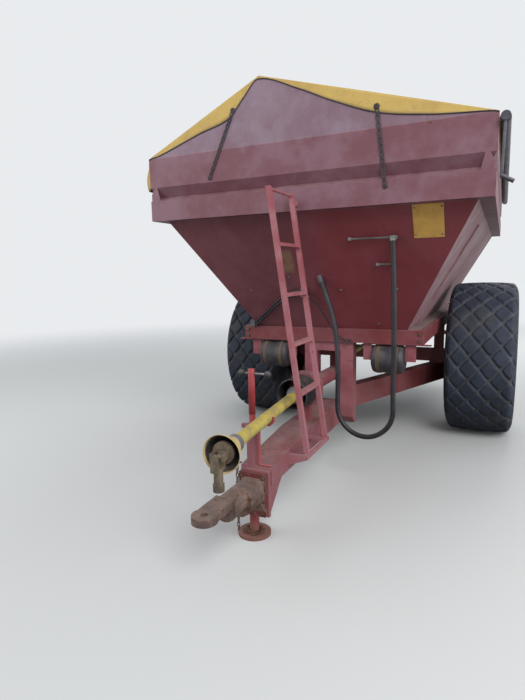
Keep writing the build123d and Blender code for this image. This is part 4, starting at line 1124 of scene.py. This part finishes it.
NUTS = 8
NUT_CIRCLE = 0.076
NUT_SIZE = 0.012
NUT_X = WHEEL_X + 0.085
for side, name in ((-1, "left"), (1, "right")):
    shape = Shape()
    for k in range(NUTS):
        a = 2 * math.pi / NUTS * (k + 0.5)
        place = (side * NUT_X, AXLE_Y + NUT_CIRCLE * math.cos(a), TYRE_R + NUT_CIRCLE * math.sin(a))
        bolt(shape, place, (side, 0, 0), NUT_SIZE)
    add_piece(f"wheel_nuts_{name}", shape, "worn_steel", f"wheel_{name}", smooth=False)


# Safety chain: it hangs from the front plate and lies in a heap on the jack's foot
LINK_LENGTH = 0.034
LINK_WIDTH = 0.021
LINK_WIRE = 0.0032
LINK_STEP = 0.0255
CHAIN_TOP = (-0.094, -2.386, 0.452)
CHAIN_LOW = 0.066
HOOK = ((-0.094, -2.386, 0.466), (-0.090, -2.366, 0.472), (-0.086, -2.346, 0.470))
HEAP_LINKS = 46
HEAP_IN = 0.036
HEAP_R = 0.062
HEAP_LOW = 0.0235
HEAP_RISE = 0.012
HEAP_TIP = 0.2


def chain_link(shape, centre, ahead, flat):
    # One link, an oval of round wire.
    ahead = Vector(ahead).normalized()
    across = ahead.cross(Vector(flat)).normalized()
    normal = ahead.cross(across)
    bend = (LINK_WIDTH - 2 * LINK_WIRE) / 2
    reach = LINK_LENGTH / 2 - LINK_WIRE - bend
    points = []
    for k in range(16):
        a = 2 * math.pi * (k + 0.5) / 16
        c = math.cos(a)
        forth = bend * c + math.copysign(reach, c)
        points.append(Vector(centre) + ahead * forth + across * (bend * math.sin(a)))
    rings = []
    for i, point in enumerate(points):
        along = (points[(i + 1) % len(points)] - points[i - 1]).normalized()
        rings.append(ring_of(point, along.cross(normal).normalized(), normal, LINK_WIRE, 8))
    shape.rings(rings, closed=True)


shape = Shape()
z = CHAIN_TOP[2]
turned = False
while z > CHAIN_LOW:
    chain_link(shape, (*CHAIN_TOP[:2], z), (0, 0, -1), (1, 0, 0) if turned else (0, 1, 0))
    turned = not turned
    z -= LINK_STEP
tube(shape, HOOK, 0.005, 10)
chain = add_piece("safety_chain", shape, "rusty_chain", "spreader")
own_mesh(chain)
shape = Shape()
for i in range(HEAP_LINKS):
    turn = random.uniform(0, 2 * math.pi)
    away = HEAP_IN + (HEAP_R - HEAP_IN) * random.random()
    x = JACK_AT[0] + away * math.cos(turn)
    y = JACK_AT[1] + away * math.sin(turn)
    z = HEAP_LOW + HEAP_RISE * (1 - (away - HEAP_IN) / (HEAP_R - HEAP_IN)) * random.random()
    lean = random.uniform(0, math.pi)
    tip = random.uniform(-HEAP_TIP, HEAP_TIP)
    chain_link(shape, (x, y, z), (math.cos(lean), math.sin(lean), tip), (0, 0.3 * random.random(), 1))
add_piece("chain_heap", shape, "rusty_chain", "jack")

# Ridged bell over the rear joint
SHAFT_SIDES = 64
BELL_R = 0.110
BELL_SKIN = 0.005
BELL_BACK = 0.030
BELL_FRONT = -0.184
RIDGES = 22
RIDGE_STEP = 0.010
RIDGE_DEPTH = 0.0035
drive_back = (Vector(BEARING) - Vector(PIVOT)).normalized()
shape = Shape()
line = [(BELL_R - BELL_SKIN, BELL_BACK), (BELL_R - BELL_SKIN, BELL_FRONT)]
for i in range(RIDGES):
    line.append((BELL_R - (0.0 if i % 2 else RIDGE_DEPTH), BELL_FRONT + RIDGE_STEP * i))
line.append((BELL_R, BELL_BACK))
lathe(shape, PIVOT, drive_back, line, SHAFT_SIDES)
add_piece("ridged_bell", shape, "black_plastic", "spreader", hide=["shaft_bell"])

# Front guard cone: tan flare, black inside, grey neck. A grey collar where the guard enters the bell
ahead = (Vector(TIP) - Vector(PIVOT)).normalized()
MOUTH = SHAFT_RUN - 0.035
NECK = MOUTH - 0.120
SHAFT_PARTS = (
    # name, material, slot, replaced nodes, closed line of radius and distance
    (
        "cone_flare",
        "tan_plastic",
        "guard_plastic",
        ["shaft_front_cone"],
        [
            (0.0485, NECK - 0.004),
            (0.0500, NECK),
            (0.0600, NECK + 0.024),
            (0.0740, NECK + 0.062),
            (0.0850, NECK + 0.095),
            (0.0920, MOUTH - 0.006),
            (0.0950, MOUTH - 0.003),
            (0.0945, MOUTH),
            (0.0925, MOUTH - 0.001),
            (0.0890, MOUTH - 0.010),
            (0.0830, NECK + 0.095),
            (0.0720, NECK + 0.062),
            (0.0580, NECK + 0.024),
            (0.0470, NECK),
        ],
    ),
    (
        "cone_lining",
        "black_plastic",
        "black_plastic",
        [],
        [
            (0.0460, NECK + 0.004),
            (0.0570, NECK + 0.026),
            (0.0712, NECK + 0.064),
            (0.0822, NECK + 0.096),
            (0.0880, MOUTH - 0.012),
            (0.0870, MOUTH - 0.013),
            (0.0800, NECK + 0.096),
            (0.0690, NECK + 0.066),
            (0.0550, NECK + 0.028),
            (0.0240, NECK + 0.006),
            (0.0210, NECK + 0.003),
        ],
    ),
    (
        "cone_neck",
        "grey_plastic",
        "guard_plastic",
        [],
        [
            (0.0345, NECK - 0.055),
            (0.0440, NECK - 0.055),
            (0.0460, NECK - 0.051),
            (0.0470, NECK - 0.030),
            (0.0450, NECK - 0.027),
            (0.0490, NECK - 0.023),
            (0.0490, NECK - 0.004),
            (0.0345, NECK - 0.002),
        ],
    ),
    (
        "guard_collar",
        "grey_plastic",
        "guard_plastic",
        [],
        [
            (0.0345, 0.222),
            (0.0390, 0.219),
            (0.0440, 0.205),
            (0.0620, 0.152),
            (0.0605, 0.148),
            (0.0400, 0.196),
            (0.0345, 0.205),
        ],
    ),
)
for name, material, slot, hide, line in SHAFT_PARTS:
    shape = Shape()
    lathe(shape, PIVOT, ahead, line, SHAFT_SIDES)
    add_piece(name, shape, material, "drive_shaft", hide=hide)

# The jack's screw tube, its turning bar and two ball knobs
HANDLE_LOW = 0.754
HANDLE_TOP = 1.024
HANDLE_LINE = (
    # radius, height
    (0.002, HANDLE_LOW),
    (0.020, HANDLE_LOW),
    (0.020, HANDLE_TOP - 0.003),
    (0.018, HANDLE_TOP),
    (0.015, HANDLE_TOP),
    (0.014, HANDLE_TOP - 0.008),
    (0.002, HANDLE_TOP - 0.008),
)
BAR_Z = 0.997
BAR_ENDS = (-0.101, 0.067)
BAR_R = 0.0075
BALL_R = 0.021
BALL_STEPS = 19
shape = Shape()
lathe(shape, (*JACK_AT, 0.0), (0, 0, 1), HANDLE_LINE, 40)
add_piece("jack_tube", shape, "handle_paint", "jack", hide=["jack_handle"])
shape = Shape()
tube(shape, [(x, JACK_AT[1], BAR_Z) for x in BAR_ENDS], BAR_R, 16)
add_piece("jack_bar", shape, "zinc", "jack")
shape = Shape()
turns = [math.pi * (i + 0.5) / BALL_STEPS for i in range(BALL_STEPS)]
ball = [(BALL_R * math.sin(a), -BALL_R * math.cos(a)) for a in turns]
for x in BAR_ENDS:
    lathe(shape, (x, JACK_AT[1], BAR_Z), (1, 0, 0), ball, 32)
add_piece("jack_knobs", shape, "black_plastic", "jack")

# Air reservoirs: drawn ends, weld seams and strapped bands, drain valves below
TANK_R = 0.112
TANK_HALF = 0.130
TANK_LINE = (
    # radius, distance from the middle, up to the seam
    (0.004, -TANK_HALF),
    (0.060, -TANK_HALF + 0.002),
    (0.086, -TANK_HALF + 0.006),
    (0.102, -TANK_HALF + 0.014),
    (0.110, -TANK_HALF + 0.026),
    (TANK_R - 0.0015, -0.096),
    (TANK_R, -0.094),
    (TANK_R, -0.089),
    (TANK_R - 0.0015, -0.087),
)
BAND_LINE = ((0.110, -0.014), (0.1145, -0.014), (0.1145, 0.014), (0.110, 0.014))
BAND_OFFSETS = (-0.070, 0.070)
TANK_SIDES = 72
VALVE_TOP = 0.784
VALVE_LOW = 0.776
VALVE_R = 0.012
for side, name, hide in ((-1, "left", []), (1, "right", ["reservoirs"])):
    x, y, z = side * TANK[0], TANK[1], TANK[2]
    shape = Shape()
    lathe(shape, (x, y, z), (1, 0, 0), TANK_LINE + tuple((r, -d) for r, d in reversed(TANK_LINE)), TANK_SIDES)
    add_piece(f"tank_{name}", shape, "tank_paint", "spreader", hide=hide)
    shape = Shape()
    for offset in BAND_OFFSETS:
        lathe(shape, (x + offset, y, z), (1, 0, 0), BAND_LINE, TANK_SIDES)
    tube(shape, [(x, y, VALVE_TOP), (x, y, VALVE_LOW)], VALVE_R, 6)
    add_piece(f"tank_bands_{name}", shape, "brown_band", "spreader", smooth=False)

bpy.context.view_layer.update()
